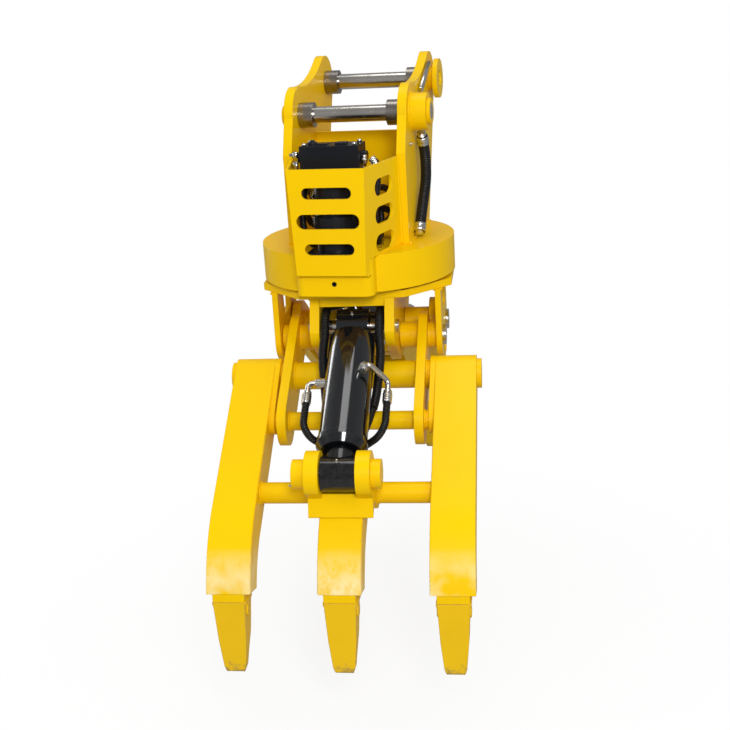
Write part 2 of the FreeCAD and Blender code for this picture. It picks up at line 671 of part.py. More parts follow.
def tine_outline(begin, inset, turn, depth_end):
    """Side view of a tine from its round head to its bent end, inset by the skin."""
    bend_y = "tine_head - tine_bend"
    inner_y = "tine_head - tine_bend_depth"
    outer_r = f"(tine_bend - {inset})"
    inner_r = f"(tine_bend - {depth_end} + {inset})"
    head = f"(tine_head - {inset})"
    return [
        (begin, f"-{head}"),
        ("tine_straight", f"{inner_y} + {inset}", f"tine_inner_bend + {inset}", -1),
        (f"tine_straight + {inner_r} * sin({turn})", f"{bend_y} + {inner_r} * cos({turn})"),
        (f"tine_straight + {outer_r} * sin({turn})", f"{bend_y} + {outer_r} * cos({turn})", outer_r, 1),
        ("tine_straight", f"{head}"),
        (begin, head, head, 1),
        (f"{begin} - {head}", "0", head, 1),
    ]


def make_tine(name, place, begin, inner, outer, holes):
    """A hollow box section, welded shut at its head and open where the adapter closes it."""
    tine = new_body(name, place)
    side = tine_outline(begin, "0", "tine_turn", "tine_end_depth")
    add(tine, "XY", inner, f"({outer}) - ({inner})", [side])
    hollow = tine_outline(begin, "tine_skin", "(tine_turn + 1.5)", "tine_end_depth")
    start = f"{inner} + tine_skin"
    cut(tine, "XY", start, f"({outer}) - ({inner}) - 2 * tine_skin", [hollow])
    for start, length, loop in holes:
        cut(tine, "XY", start, length, [loop])


def make_jaw(jaw, tines, arm_in, top_end, mid_end, low_end):
    """One jaw: arms, hubs and tubes, its tines, the clevis for its cylinder, and the teeth."""
    side_frame = SIDES[jaw]
    pivot = Vector(worth("pivot_reach"), worth("-pivot_drop"), 0)
    arm_frame = side_frame.multiply(turned(-worth("arm_slope"), pivot))
    top = Vector(worth(TOP_X), worth(TOP_Y), 0)
    tine_frame = side_frame.multiply(turned(-worth("tine_slope"), top))

    arms = new_body(f"{jaw}_arms", arm_frame)
    hub_in = "inner_lug_gap / 2 + inner_lug_wall + side_play"
    for side in (-1, 1):
        start, length = span(side, arm_in, f"{arm_in} + arm_wall")
        add(arms, "XY", start, length, [link_outline("arm_length", "arm_round")])
        start, length = span(side, hub_in, "outer_lug_gap / 2 - side_play")
        add(arms, "XY", start, length, [("0", "0", "hub_dia / 2")])
    bores = [
        ("0", "0", "pivot_pin_dia / 2 + running_fit"),
        ("top_tube_at", "0", "top_tube_dia / 2 + weld_fit"),
        ("arm_length", "0", "mid_tube_dia / 2 + weld_fit"),
    ]
    cut(arms, "XY", "-outer_lug_gap / 2", "outer_lug_gap", bores)

    tube = new_body(f"{jaw}_top_tube", arm_frame)
    bar = ring("top_tube_at", "0", "top_tube_dia / 2", "top_tube_bore / 2")
    add(tube, "XY", f"-({top_end})", f"2 * ({top_end})", bar)
    if jaw == "front":
        for side in (-1, 1):
            start, length = span(side, top_end, f"{top_end} + cap_wall")
            add(tube, "XY", start, length, [("top_tube_at", "0", "cap_dia / 2")])
    cross = new_body(f"{jaw}_cross_tubes", tine_frame)
    bar = ring(MID_S, MID_T, "mid_tube_dia / 2", "mid_tube_bore / 2")
    add(cross, "XY", f"-({mid_end})", f"2 * ({mid_end})", bar)
    bar = ring("low_tube_at", "0", "low_tube_dia / 2", "low_tube_bore / 2")
    add(cross, "XY", f"-({low_end})", f"2 * ({low_end})", bar)

    for name, begin, inner, outer in tines:
        holes = []
        if begin == "0":
            holes.append((inner, f"({outer}) - ({inner})", ("0", "0", "top_tube_dia / 2 + weld_fit")))
        low_hole = ("low_tube_at", "0", "low_tube_dia / 2 + weld_fit")
        if "side" in inner or "side" in outer:
            left = inner.startswith("-")
            at = f"-side_tine_in - tine_skin" if left else "side_tine_in"
            holes.append((at, "tine_skin", low_hole))
        else:
            holes.append((inner, f"({outer}) - ({inner})", low_hole))
        if jaw == "rear":
            mid_hole = (MID_S, MID_T, "mid_tube_dia / 2 + weld_fit")
            holes.append((inner, f"({outer}) - ({inner})", mid_hole))
        make_tine(f"{jaw}_tine_{name}", tine_frame, begin, inner, outer, holes)

    if jaw == "front":
        doublers = new_body("front_doublers", arm_frame)
        shape = [
            ("top_tube_at", "-tine_head"),
            ("arm_length", "-mid_tube_dia * 0.7", "mid_tube_dia * 0.7", 1),
            ("arm_length + mid_tube_dia * 0.7", "0", "mid_tube_dia * 0.7", 1),
            ("arm_length", "mid_tube_dia * 0.7"),
            ("top_tube_at", "tine_head", "tine_head", 1),
            ("top_tube_at - tine_head", "0", "tine_head", 1),
        ]
        bores = [
            ("top_tube_at", "0", "top_tube_dia / 2 + weld_fit"),
            ("arm_length", "0", "mid_tube_dia / 2 + weld_fit"),
        ]
        for side in (-1, 1):
            start, length = span(side, "side_tine_in - doubler_wall", "side_tine_in")
            add(doublers, "XY", start, length, [shape] + bores)

    make_clevis(jaw, tine_frame)
    make_teeth(jaw, tine_frame, tines)
    make_cylinder(jaw)


def make_clevis(jaw, tine_frame):
    """Two ears and a wedge plate that carry the rod pin on the low tube."""
    clevis = new_body(f"{jaw}_clevis", tine_frame)
    foot = "low_tube_dia / 2 + arm_wall / 2"
    ear = [
        ("low_tube_at", f"-({foot})", foot, 1),
        (f"low_tube_at + {foot}", "0"),
        (f"{EYE_S} + clevis_round", EYE_T, "clevis_round", 1),
        (EYE_S, f"{EYE_T} + clevis_round", "clevis_round", 1),
        (f"{EYE_S} - clevis_round", EYE_T),
        (f"low_tube_at - ({foot})", "0", foot, 1),
    ]
    ear_in = "rod_eye_width / 2 + clevis_play"
    for side in (-1, 1):
        start, length = span(side, ear_in, f"{ear_in} + clevis_wall")
        add(clevis, "XY", start, length, [ear])
    wedge = [
        ("tine_straight - 35", "tine_head + weld_fit"),
        ("tine_straight + 30", "tine_head + weld_fit"),
        ("tine_straight + 15", "tine_head + 14"),
        ("tine_straight - 12", "tine_head + 43"),
        ("tine_straight - 35", "tine_head + 28"),
    ]
    add(clevis, "XY", f"-({ear_in} + clevis_wall)", f"2 * ({ear_in} + clevis_wall)", [wedge])
    wide = f"2 * ({ear_in} + clevis_wall)"
    bores = [
        ("low_tube_at", "0", "low_tube_dia / 2 + weld_fit"),
        (EYE_S, EYE_T, "rod_pin_dia / 2 + pin_fit"),
    ]
    cut(clevis, "XY", f"-({ear_in} + clevis_wall)", wide, bores)
    if jaw == "front":
        past = "tine_straight + 2 * tine_head"
        room = box("low_tube_at - 2 * tine_head", past, "-2 * tine_head", "tine_head + weld_fit")
        centre = "centre_tine_width / 2 + weld_fit"
        cut(clevis, "XY", f"-({centre})", f"2 * ({centre})", [room])

    pin = new_body(f"{jaw}_rod_pin", tine_frame)
    out = f"{ear_in} + clevis_wall"
    add(pin, "XY", f"-({out})", f"2 * ({out})", [(EYE_S, EYE_T, "rod_pin_dia / 2")])
    caps = {"left": "clevis_cap_left", "right": "clevis_cap_right"}
    for hand, side in HANDS[jaw].items():
        start, length = span(side, out, f"{out} + {caps[hand]}")
        add(pin, "XY", start, length, [(EYE_S, EYE_T, "clevis_cap_dia / 2")])


def make_teeth(jaw, tine_frame, tines):
    """Weld-on noses at the tine ends, the caps that slide over them, and their pins."""
    middle = "(tine_bend - tine_end_depth / 2)"
    turn = worth("tine_turn")
    end = Vector(
        worth(f"tine_straight + {middle} * sin(tine_turn)"),
        worth(f"tine_head - tine_bend + {middle} * cos(tine_turn)"),
        0,
    )
    place = tine_frame.multiply(turned(-turn - worth("tooth_lean"), end))
    half = "tine_end_depth / 2"
    lean = f"{half} * sin(tooth_lean)"
    neck = [
        (f"-({lean}) + tooth_fit", f"{half} * cos(tooth_lean) - 1"),
        (f"{lean} + tooth_fit", f"-({half} * cos(tooth_lean)) + 1"),
        ("nose_neck + 2", f"-({half}) + 2"),
        ("nose_neck + 2", f"{half} - 2"),
    ]
    nose = [
        ("nose_neck", "-tine_end_depth * 0.33"),
        ("nose_length", "-tine_end_depth * 0.17"),
        ("nose_length", "tine_end_depth * 0.13"),
        ("nose_neck", "tine_end_depth * 0.33"),
    ]
    room = [
        ("nose_neck + 1", "-tine_end_depth * 0.33 - tooth_fit"),
        ("nose_length + 2", "-tine_end_depth * 0.17 - tooth_fit"),
        ("nose_length + 2", "tine_end_depth * 0.13 + tooth_fit"),
        ("nose_neck + 1", "tine_end_depth * 0.33 + tooth_fit"),
    ]
    face = "nose_neck + 2 + tooth_fit"
    tooth = [
        (face, f"-({half}) + 1"),
        ("tooth_shoulder - 10", "-tine_end_depth * 0.4", "2 * tooth_length", -1),
        ("tooth_length - 4", "-tooth_tip / 2", "tooth_tip * 0.7", 1),
        ("tooth_length", "tooth_tip / 2 - 5"),
        ("tooth_length - 5", "tooth_tip / 2"),
        (face, f"{half} - 1"),
    ]
    adapters = new_body(f"{jaw}_adapters", place)
    teeth = new_body(f"{jaw}_teeth", place)
    pins = new_body(f"{jaw}_tooth_pins", place)
    nose_wide = "tooth_width * nose_width_share / 80"
    centres = [f"({inner} + {outer}) / 2" for _, _, inner, outer in tines]
    tapers = []
    for centre in centres:
        add(adapters, "XY", f"{centre} - tooth_width / 2", "tooth_width", [neck])
        add(adapters, "XY", f"{centre} - {nose_wide} / 2", nose_wide, [nose])
        add(teeth, "XY", f"{centre} - tooth_width / 2", "tooth_width", [tooth])
    for centre in centres:
        wide = f"{nose_wide} + 2 * tooth_fit"
        cut(teeth, "XY", f"{centre} - ({wide}) / 2", wide, [room])
        for side in ("-", "+"):
            rim = f"{centre} {side} tooth_width / 2"
            waist = f"{centre} {side} tooth_width * 0.44"
            tip = f"{centre} {side} tooth_tip_width / 2"
            soft = f"{centre} {side} (tooth_tip_width / 2 - 6)"
            away = f"{centre} {side} tooth_width * 0.6"
            wedge = [
                (face, rim),
                ("tooth_shoulder", waist),
                ("tooth_length - 16", tip),
                ("tooth_length + 1", soft),
                ("tooth_length + 1", away),
                (face, away),
            ]
            tapers.append(wedge if side == "-" else wedge[::-1])
    cut(teeth, "XZ", "-tine_end_depth", "2 * tine_end_depth", tapers)
    pin_at = ("tooth_pin_at", "0")
    for centre in centres:
        bore = (*pin_at, "tooth_pin_dia / 2 + pin_fit")
        cut(adapters, "XY", f"{centre} - tooth_width / 2", "tooth_width", [bore])
        cut(teeth, "XY", f"{centre} - tooth_width / 2", "tooth_width", [bore])
        pin = [(*pin_at, "tooth_pin_dia / 2")]
        add(pins, "XY", f"{centre} - tooth_width / 2 - 3", "tooth_width + 6", pin)


def cylinder_place(jaw):
    """The retracted cylinder's frame: origin at its base eye and X towards its rod eye."""
    reach = worth("rod_eye_reach - eye_reach")
    drop = worth("rod_eye_drop - eye_drop")
    base = Vector(worth("eye_reach"), worth("-eye_drop"), 0)
    return SIDES[jaw].multiply(turned(-math.degrees(math.atan2(drop, reach)), base))


def make_cylinder(jaw):
    """A welded jaw cylinder, drawn retracted along its own X axis from the base eye."""
    closed = "sqrt((rod_eye_reach - eye_reach)^2 + (rod_eye_drop - eye_drop)^2)"
    place = cylinder_place(jaw)
    mouth = f"({closed} - rod_shoulder)"
    bore, skin = "barrel_bore / 2", "barrel_dia / 2"
    floor = "barrel_start + 22"

    barrel = new_body(f"{jaw}_barrel", place)
    add(barrel, "XY", "-base_eye_width / 2", "base_eye_width", [("0", "0", "base_eye_dia / 2")])
    tube = [
        ("barrel_start / 2", "0"),
        (floor, "0"),
        (floor, bore),
        (mouth, bore),
        (mouth, skin),
        ("barrel_start", skin),
        ("barrel_start / 2", f"{skin} / 2"),
    ]
    spin(barrel, tube)
    eye = [("0", "0", "base_bore / 2")]
    cut(barrel, "XY", "-base_eye_width / 2 - barrel_dia", "base_eye_width + 2 * barrel_dia", eye)

    rod_hole = "rod_dia / 2 + running_fit"
    gland = new_body(f"{jaw}_gland", place)
    sleeve = [
        (f"{mouth} - gland_len", rod_hole),
        (f"{mouth} + gland_len", rod_hole),
        (f"{mouth} + gland_len", "gland_dia / 2 - gland_gap * 1.6"),
        (f"{mouth} + gland_len * 0.45", "gland_dia / 2"),
        (mouth, "gland_dia / 2"),
        (mouth, f"{bore} - pin_fit"),
        (f"{mouth} - gland_len", f"{bore} - pin_fit"),
    ]
    spin(gland, sleeve)

    rod = new_body(f"{jaw}_rod", place)
    shaft = [
        (f"{floor} + gland_gap", "0"),
        (closed, "0"),
        (closed, "rod_dia / 2 + gland_gap"),
        (f"{mouth} + gland_len + gland_gap", "rod_dia / 2 + gland_gap"),
        (f"{mouth} + gland_len + gland_gap", "rod_dia / 2"),
        (f"{floor} + gland_gap + piston_len", "rod_dia / 2"),
        (f"{floor} + gland_gap + piston_len", f"{bore} - running_fit"),
        (f"{floor} + gland_gap", f"{bore} - running_fit"),
    ]
    spin(rod, shaft)
    add(rod, "XY", "-rod_eye_width / 2", "rod_eye_width", [(closed, "0", "rod_eye_dia / 2")])
    hole = [(closed, "0", "rod_pin_dia / 2 + running_fit")]
    cut(rod, "XY", "-rod_eye_width / 2", "rod_eye_width", hole)


def route_wire(points, bends):
    """Straight runs joined by tangent arcs; a bend given in full replaces its own arc."""
    edges = []
    start = points[0]
    for index in range(1, len(points) - 1):
        before, corner, after = points[index - 1], points[index], points[index + 1]
        back = (before - corner).normalize()
        ahead = (after - corner).normalize()
        half_turn = (math.pi - back.getAngle(ahead)) / 2
        shorter = min((corner - before).Length, (after - corner).Length)
        reach = 0.45 * shorter
        bends.append(reach / math.tan(half_turn))
        first, last = corner + back * reach, corner + ahead * reach
        drop = bends[-1] * (1 / math.cos(half_turn) - 1)
        middle = corner + (back + ahead).normalize() * drop
        edges.append(Part.makeLine(start, first))
        edges.append(Part.Arc(first, middle, last).toShape())
        start = last
    edges.append(Part.makeLine(start, points[-1]))
    return edges


def sweep(edges, radius):
    """A round bar along joined edges."""
    start = edges[0]
    at = start.valueAt(start.FirstParameter)
    along = start.tangentAt(start.FirstParameter)
    end = Part.Face(Part.Wire(Part.makeCircle(radius, at, along)))
    return Part.Wire(edges).makePipe(end)


def new_hoses(name, place, solids):
    """A node of swept hoses or pipes."""
    item = doc.addObject("Part::Feature", name)
    item.Label = name
    item.Shape = Part.makeCompound(solids)
    item.Placement = place
    NODES.append(item)


def drape(first, last, z):
    """An arc over the base pin between two angles from the barrel's upright."""
    points = []
    for angle in (first, (first + last) / 2, last):
        aim = math.radians(angle)
        reach = worth("hose_drape")
        points.append(Vector(-reach * math.sin(aim), reach * math.cos(aim), z))
    return points


def make_hoses():
    """Hoses from the swivel over each base pin, round under the barrel and back to its ports."""
    bends = []
    hose, guard = worth("hose_dia / 2"), worth("guard_dia / 2")
    loose = hose + worth("guard_play")
    crimp, pipe, port = worth("crimp_dia / 2"), worth("pipe_dia / 2"), worth("port_dia / 2")
    skin, face = worth("barrel_dia / 2"), worth("swivel_side / 2")
    aside, level = worth("hose_aside"), worth("hose_drape - eye_drop")
    tilt = math.degrees(math.atan2(worth("rod_eye_drop - eye_drop"), worth("rod_eye_reach - eye_reach")))
    leave = math.radians(worth("hose_leave"))
    port_end = face + 0.1 + worth("port_length")
    stubs, swivel_ends = [], []
    for jaw, side_frame in SIDES.items():
        place = cylinder_place(jaw)
        inward = place.inverse().multiply(side_frame)
        back = LOWER.inverse().multiply(place)
        lines, fittings = [], []
        for hand, begin, ahead in ((1, 16, 18), (-1, -44, -48)):
            z = aside * hand
            cover = drape(tilt + 1.5, -worth("hose_leave"), z)
            corner = cover[2] + Vector(math.cos(leave), -math.sin(leave), 0) * 33
            route = [
                cover[2],
                corner,
                Vector(104, -5.4, z + 5.5 * hand),
                Vector(205, -59, z - 6 * hand),
                Vector(270, -64, z - 18 * hand),
                Vector(372, -78, z - 50 * hand),
                Vector(372, 2, 106 * hand),
                Vector(276.3, 2, 106 * hand),
            ]
            leg = route_wire(route, bends)
            lines.append(sweep(leg, hose))
            sleeve = [Part.Arc(*cover).toShape()] + leg[:7]
            lines.append(sweep(sleeve, guard).cut(sweep(sleeve, loose)))
            aim = math.radians(0 if hand > 0 else 52)
            outward = Vector(0, math.sin(aim), math.cos(aim) * hand)
            root = Vector(202, 0, 0) + outward * skin
            elbow = [root, Vector(202, 2, 106 * hand), Vector(240, 2, 106 * hand)]
            if hand < 0:
                elbow.insert(1, root + outward * 34)
            fitting = merge([
                sweep(route_wire(elbow, []), pipe),
                sweep([Part.makeLine(root - outward * 2, root + outward * 22)], port),
                sweep([Part.makeLine(Vector(236, 2, 106 * hand), Vector(276, 2, 106 * hand))], crimp),
            ])
            wall = Part.makeCylinder(skin + worth("tooth_fit"), 200, Vector(100, 0, 0), Vector(1, 0, 0))
            fittings.append(fitting.cut(wall))
            over = drape(tilt, 0.5 - worth("hose_leave"), z)
            near = [
                Vector(port_end + worth("hose_gap"), level, begin),
                Vector(112, level, ahead),
                Vector(160, level, z),
            ]
            stub = [back.multVec(inward.multVec(at)) for at in near] + [back.multVec(over[0])]
            tail = Part.Arc(*[back.multVec(at) for at in over]).toShape()
            stubs.append(sweep(route_wire(stub, bends) + [tail], hose))
            out = LOWER.inverse().multiply(side_frame)
            seat = out.multVec(Vector(face + 0.1, level, begin))
            away = out.Rotation.multVec(Vector(1, 0, 0))
            swivel_ends.append(Part.makeCylinder(port, worth("port_length"), seat, away))
        new_hoses(f"{jaw}_hoses", place, lines)
        new_hoses(f"{jaw}_ports", place, fittings)
    new_hoses("jaw_hoses", LOWER, stubs)
    new_hoses("swivel_ports", LOWER, swivel_ends)
    beside = worth(f"{EAR_OUT} + supply_dia / 2 + tooth_fit") + 2
    supply = [
        Vector(beside + 3, 30, 272),
        Vector(beside + 6, 52, 215),
        Vector(beside + 5, 58, 150),
        Vector(beside, 0, 70),
        Vector(beside - 2, -40, 16),
    ]
    line = sweep(route_wire(supply, bends), worth("supply_dia / 2"))
    new_hoses("supply_hose", UPPER, [line])
    print("hose bend radii:", sorted({round(bend) for bend in bends}))


def merge(solids):
    whole = solids[0]
    for solid in solids[1:]:
        whole = whole.fuse(solid)
    return whole


def finish():
    """Stop on a broken object, then write one file for each node."""
    doc.recompute()
    for item in doc.Objects:
        if "Invalid" in item.State or "Error" in item.State:
            raise RuntimeError(f"{item.Name} did not build: {item.State}")
    facets = 0
    for node in NODES:
        shape = node.Shape
        if shape.isNull() or not shape.isValid() or not shape.Solids:
            raise RuntimeError(f"{node.Label} has no sound solid")
        shape.exportStep(f"parts/{node.Label}.step")
        count = len(shape.tessellate(0.5)[1])
        facets += count
        solids = len(shape.Solids)
        print(f"{node.Label}: {solids} solid(s), {shape.Volume / 1000:.0f} cm3, {count} facets")
    print(len(NODES), "nodes,", facets, "facets")


make_hanger()
make_housing()
make_guard()
make_drive()
make_turntable()
make_lugs()
side_out = "(side_tine_in + side_tine_width)"
rear_out = "(rear_tine_in + rear_tine_width)"
make_jaw(
    "front",
    [
        ("left", "0", "side_tine_in", side_out),
        ("right", "0", f"-{side_out}", "-side_tine_in"),
        ("centre", "low_tube_at", "-centre_tine_width / 2", "centre_tine_width / 2"),
    ],
    "front_arm_in",
    side_out,
    "side_tine_in",
    "side_tine_in + tine_skin",
)
make_jaw(
    "rear",
    [
        ("right", "0", "rear_tine_in", rear_out),
        ("left", "0", f"-{rear_out}", "-rear_tine_in"),
    ],
    "rear_arm_in",
    "rear_arm_in + arm_wall",
    "rear_arm_in + arm_wall",
    rear_out,
)
make_hoses()
finish()
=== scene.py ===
import json
import math

import bmesh
import bpy
from mathutils import Matrix, Vector


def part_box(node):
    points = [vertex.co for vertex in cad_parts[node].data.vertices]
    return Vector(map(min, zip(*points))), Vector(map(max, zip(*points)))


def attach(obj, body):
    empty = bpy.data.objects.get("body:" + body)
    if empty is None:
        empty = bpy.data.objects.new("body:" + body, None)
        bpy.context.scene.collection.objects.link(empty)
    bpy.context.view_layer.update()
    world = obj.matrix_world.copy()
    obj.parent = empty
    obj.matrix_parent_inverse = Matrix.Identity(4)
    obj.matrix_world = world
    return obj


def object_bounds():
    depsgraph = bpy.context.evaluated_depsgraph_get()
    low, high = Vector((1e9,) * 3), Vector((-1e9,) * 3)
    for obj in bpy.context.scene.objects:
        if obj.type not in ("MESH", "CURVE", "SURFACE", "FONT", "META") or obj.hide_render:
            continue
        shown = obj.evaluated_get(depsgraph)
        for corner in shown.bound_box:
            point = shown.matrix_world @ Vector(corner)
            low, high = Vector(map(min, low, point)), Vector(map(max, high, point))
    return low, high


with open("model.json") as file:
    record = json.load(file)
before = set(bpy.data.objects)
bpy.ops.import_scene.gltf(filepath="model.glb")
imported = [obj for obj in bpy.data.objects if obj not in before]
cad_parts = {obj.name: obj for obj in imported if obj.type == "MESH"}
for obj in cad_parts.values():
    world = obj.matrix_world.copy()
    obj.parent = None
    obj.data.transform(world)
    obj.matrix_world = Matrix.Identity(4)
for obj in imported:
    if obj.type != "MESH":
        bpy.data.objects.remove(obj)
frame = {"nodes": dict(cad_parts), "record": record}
cad_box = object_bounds()

# The lower assembly stands turned about the slew axis, as in the photograph.
SLEW = math.radians(6.4)
HOUSING_TOP = -341.0
TINE_TILT = math.radians(32.9)
# The reach and height of the top tube, and of a cylinder's base eye.
TOP_TUBE_AT = (206.5, -349.8)
BASE_EYE_AT = (197, -212)
# From base eye to rod eye, at rest.
CYLINDER_RUN, CYLINDER_DROP = 428, 252
CYLINDER_TILT = math.atan2(CYLINDER_DROP, CYLINDER_RUN)
CYLINDER_LENGTH = math.hypot(CYLINDER_RUN, CYLINDER_DROP)
# Where a tooth starts on its tine, and the way that it points there.
TOOTH_AT = (636.9, -55.1)
TOOTH_WAY = (0.6508, 0.7593)


def upper(x, y, z):
    """A point of the hanger, in millimetres from the housing's top, in the row frame."""
    return Vector((x, y, z + HOUSING_TOP)) / 1000


def lower(x, y, z):
    """The same for a point of the turntable's own frame."""
    across = x * math.cos(SLEW) - y * math.sin(SLEW)
    along = x * math.sin(SLEW) + y * math.cos(SLEW)
    return upper(across, along, z)


def on_side(jaw, reach, up, z):
    """A point by its reach towards one jaw and its place z across it."""
    return lower(-z, -reach, up) if jaw == "front" else lower(z, reach, up)


def on_tine(jaw, s, t, z):
    """A point along and above a tine's line, from the top tube's centre."""
    reach = TOP_TUBE_AT[0] + s * math.cos(TINE_TILT) + t * math.sin(TINE_TILT)
    up = TOP_TUBE_AT[1] - s * math.sin(TINE_TILT) + t * math.cos(TINE_TILT)
    return on_side(jaw, reach, up, z)


def on_tooth(jaw, x, y, z):
    """A point along and above a tooth, from the middle of its tine's end."""
    s = TOOTH_AT[0] + x * TOOTH_WAY[0] + y * TOOTH_WAY[1]
    t = TOOTH_AT[1] - x * TOOTH_WAY[1] + y * TOOTH_WAY[0]
    return on_tine(jaw, s, t, z)


def on_cylinder(jaw, s, y, z):
    """A point along and above a cylinder's axis, from its base eye."""
    reach = BASE_EYE_AT[0] + s * math.cos(CYLINDER_TILT) + y * math.sin(CYLINDER_TILT)
    up = BASE_EYE_AT[1] - s * math.sin(CYLINDER_TILT) + y * math.cos(CYLINDER_TILT)
    return on_side(jaw, reach, up, z)


# Materials

def new_material(name):
    material = bpy.data.materials.new(name)
    material.use_nodes = True
    tree = material.node_tree
    return material, tree, tree.nodes["Principled BSDF"]


def link(tree, source, target):
    tree.links.new(source, target)


def noise(tree, scale, detail=4.0, roughness=0.5, stretch=(1, 1, 1)):
    """Noise in object space, in waves per metre."""
    place = tree.nodes.new("ShaderNodeTexCoord")
    mapping = tree.nodes.new("ShaderNodeMapping")
    mapping.inputs["Scale"].default_value = stretch
    texture = tree.nodes.new("ShaderNodeTexNoise")
    texture.inputs["Scale"].default_value = scale
    texture.inputs["Detail"].default_value = detail
    texture.inputs["Roughness"].default_value = roughness
    link(tree, place.outputs["Object"], mapping.inputs["Vector"])
    link(tree, mapping.outputs["Vector"], texture.inputs["Vector"])
    return texture.outputs["Fac"]


def ramp(tree, value, low, high, low_out=0.0, high_out=1.0):
    """A value stretched between two limits."""
    node = tree.nodes.new("ShaderNodeMapRange")
    node.inputs["From Min"].default_value = low
    node.inputs["From Max"].default_value = high
    node.inputs["To Min"].default_value = low_out
    node.inputs["To Max"].default_value = high_out
    link(tree, value, node.inputs["Value"])
    return node.outputs["Result"]


def mix(tree, factor, first, second):
    """A colour between two others."""
    node = tree.nodes.new("ShaderNodeMix")
    node.data_type = "RGBA"
    for socket, value in ((node.inputs[6], first), (node.inputs[7], second)):
        if isinstance(value, tuple):
            socket.default_value = (*value, 1)
        else:
            link(tree, value, socket)
    link(tree, factor, node.inputs[0])
    return node.outputs[2]


def maths(tree, operation, first, second):
    node = tree.nodes.new("ShaderNodeMath")
    node.operation = operation
    for socket, value in zip(node.inputs, (first, second)):
        if isinstance(value, (int, float)):
            socket.default_value = value
        else:
            link(tree, value, socket)
    return node.outputs[0]


def edges(tree, radius):
    """Where the surface turns sharply, from the difference that a rounded edge makes."""
    bevel = tree.nodes.new("ShaderNodeBevel")
    bevel.samples = 6
    bevel.inputs["Radius"].default_value = radius
    flat = tree.nodes.new("ShaderNodeNewGeometry")
    dot = tree.nodes.new("ShaderNodeVectorMath")
    dot.operation = "DOT_PRODUCT"
    link(tree, bevel.outputs["Normal"], dot.inputs[0])
    link(tree, flat.outputs["Normal"], dot.inputs[1])
    return bevel.outputs["Normal"], maths(tree, "SUBTRACT", 1.0, dot.outputs["Value"])


def bump(tree, shader, height, strength, distance, normal=None):
    node = tree.nodes.new("ShaderNodeBump")
    node.inputs["Strength"].default_value = strength
    node.inputs["Distance"].default_value = distance
    link(tree, height, node.inputs["Height"])
    if normal is not None:
        link(tree, normal, node.inputs["Normal"])
    link(tree, node.outputs["Normal"], shader.inputs["Normal"])


def along(tree, origin, direction):
    """How far the surface lies from a point, measured along a direction, in metres."""
    place = tree.nodes.new("ShaderNodeTexCoord")
    shift = tree.nodes.new("ShaderNodeVectorMath")
    shift.operation = "SUBTRACT"
    link(tree, place.outputs["Object"], shift.inputs[0])
    shift.inputs[1].default_value = origin
    dot = tree.nodes.new("ShaderNodeVectorMath")
    dot.operation = "DOT_PRODUCT"
    link(tree, shift.outputs["Vector"], dot.inputs[0])
    dot.inputs[1].default_value = direction
    return dot.outputs["Value"]


# At scale 1 Blender's wave texture repeats at this length.
WAVE_LENGTH = 0.314


def ribs(tree, pitch):
    """Even bands across the height."""
    place = tree.nodes.new("ShaderNodeTexCoord")
    wave = tree.nodes.new("ShaderNodeTexWave")
    wave.bands_direction = "Z"
    wave.inputs["Scale"].default_value = WAVE_LENGTH / pitch
    wave.inputs["Distortion"].default_value = 0.0
    link(tree, place.outputs["Object"], wave.inputs["Vector"])
    return wave.outputs["Fac"]


def depth_between(tree, low, high):
    """One at the lower height, falling to zero at the upper."""
    return ramp(tree, along(tree, (0, 0, low), (0, 0, 1)), 0.0, high - low, 1.0, 0.0)


def enamel(name, colour, dull, worn, shine, wear, gloss, coat, scuffs_and_highlight=None):
    """Sprayed paint: slight orange peel, dust, and a little wear on rounded edges.

    Scuffs and highlight are a lower and an upper height and the pale colour between them: rubbed
    paint, and a painted highlight where the surface faces the light.
    """
    material, tree, shader = new_material(name)
    rounded, corner = edges(tree, 0.0025)
    cloud = ramp(tree, noise(tree, 5.0, 5.0), 0.35, 0.75)
    specks = ramp(tree, noise(tree, 160.0, 3.0), 0.68, 0.76)
    base = mix(tree, maths(tree, "MULTIPLY", cloud, 0.3), colour, dull)
    dusty = mix(tree, maths(tree, "MULTIPLY", specks, 0.2), base, dull)
    broken = ramp(tree, noise(tree, 38.0, 6.0, 0.7), 0.55, 0.62)
    chipped = maths(tree, "MULTIPLY", ramp(tree, corner, 0.03, 0.12, 0.0, wear), broken)
    paint = mix(tree, chipped, dusty, worn)
    rough = ramp(tree, cloud, 0.0, 1.0, shine, shine + 0.12)
    # A pale band low down: partly scuffed paint, partly a painted highlight where the fronts
    # face the light.
    if scuffs_and_highlight:
        low, high, rubbed = scuffs_and_highlight
        depth = depth_between(tree, low, high)
        scratch_and_glint = ramp(tree, noise(tree, 30.0, 8.0, 0.75, (1, 1, 0.4)), 0.38, 0.52, 0.25, 1.0)
        rubbed_and_lit_patch = maths(tree, "MULTIPLY", ramp(tree, noise(tree, 8.0, 3.0), 0.36, 0.52), depth)
        paint = mix(tree, maths(tree, "MULTIPLY", scratch_and_glint, rubbed_and_lit_patch), paint, rubbed)
        rough = maths(tree, "ADD", rough, maths(tree, "MULTIPLY", rubbed_and_lit_patch, 0.08))
    link(tree, paint, shader.inputs["Base Color"])
    link(tree, rough, shader.inputs["Roughness"])
    shader.inputs["Specular IOR Level"].default_value = gloss
    shader.inputs["Coat Weight"].default_value = coat
    shader.inputs["Coat Roughness"].default_value = 0.1
    bump(tree, shader, noise(tree, 240.0, 2.0), 0.06, 0.0006, rounded)
    return material


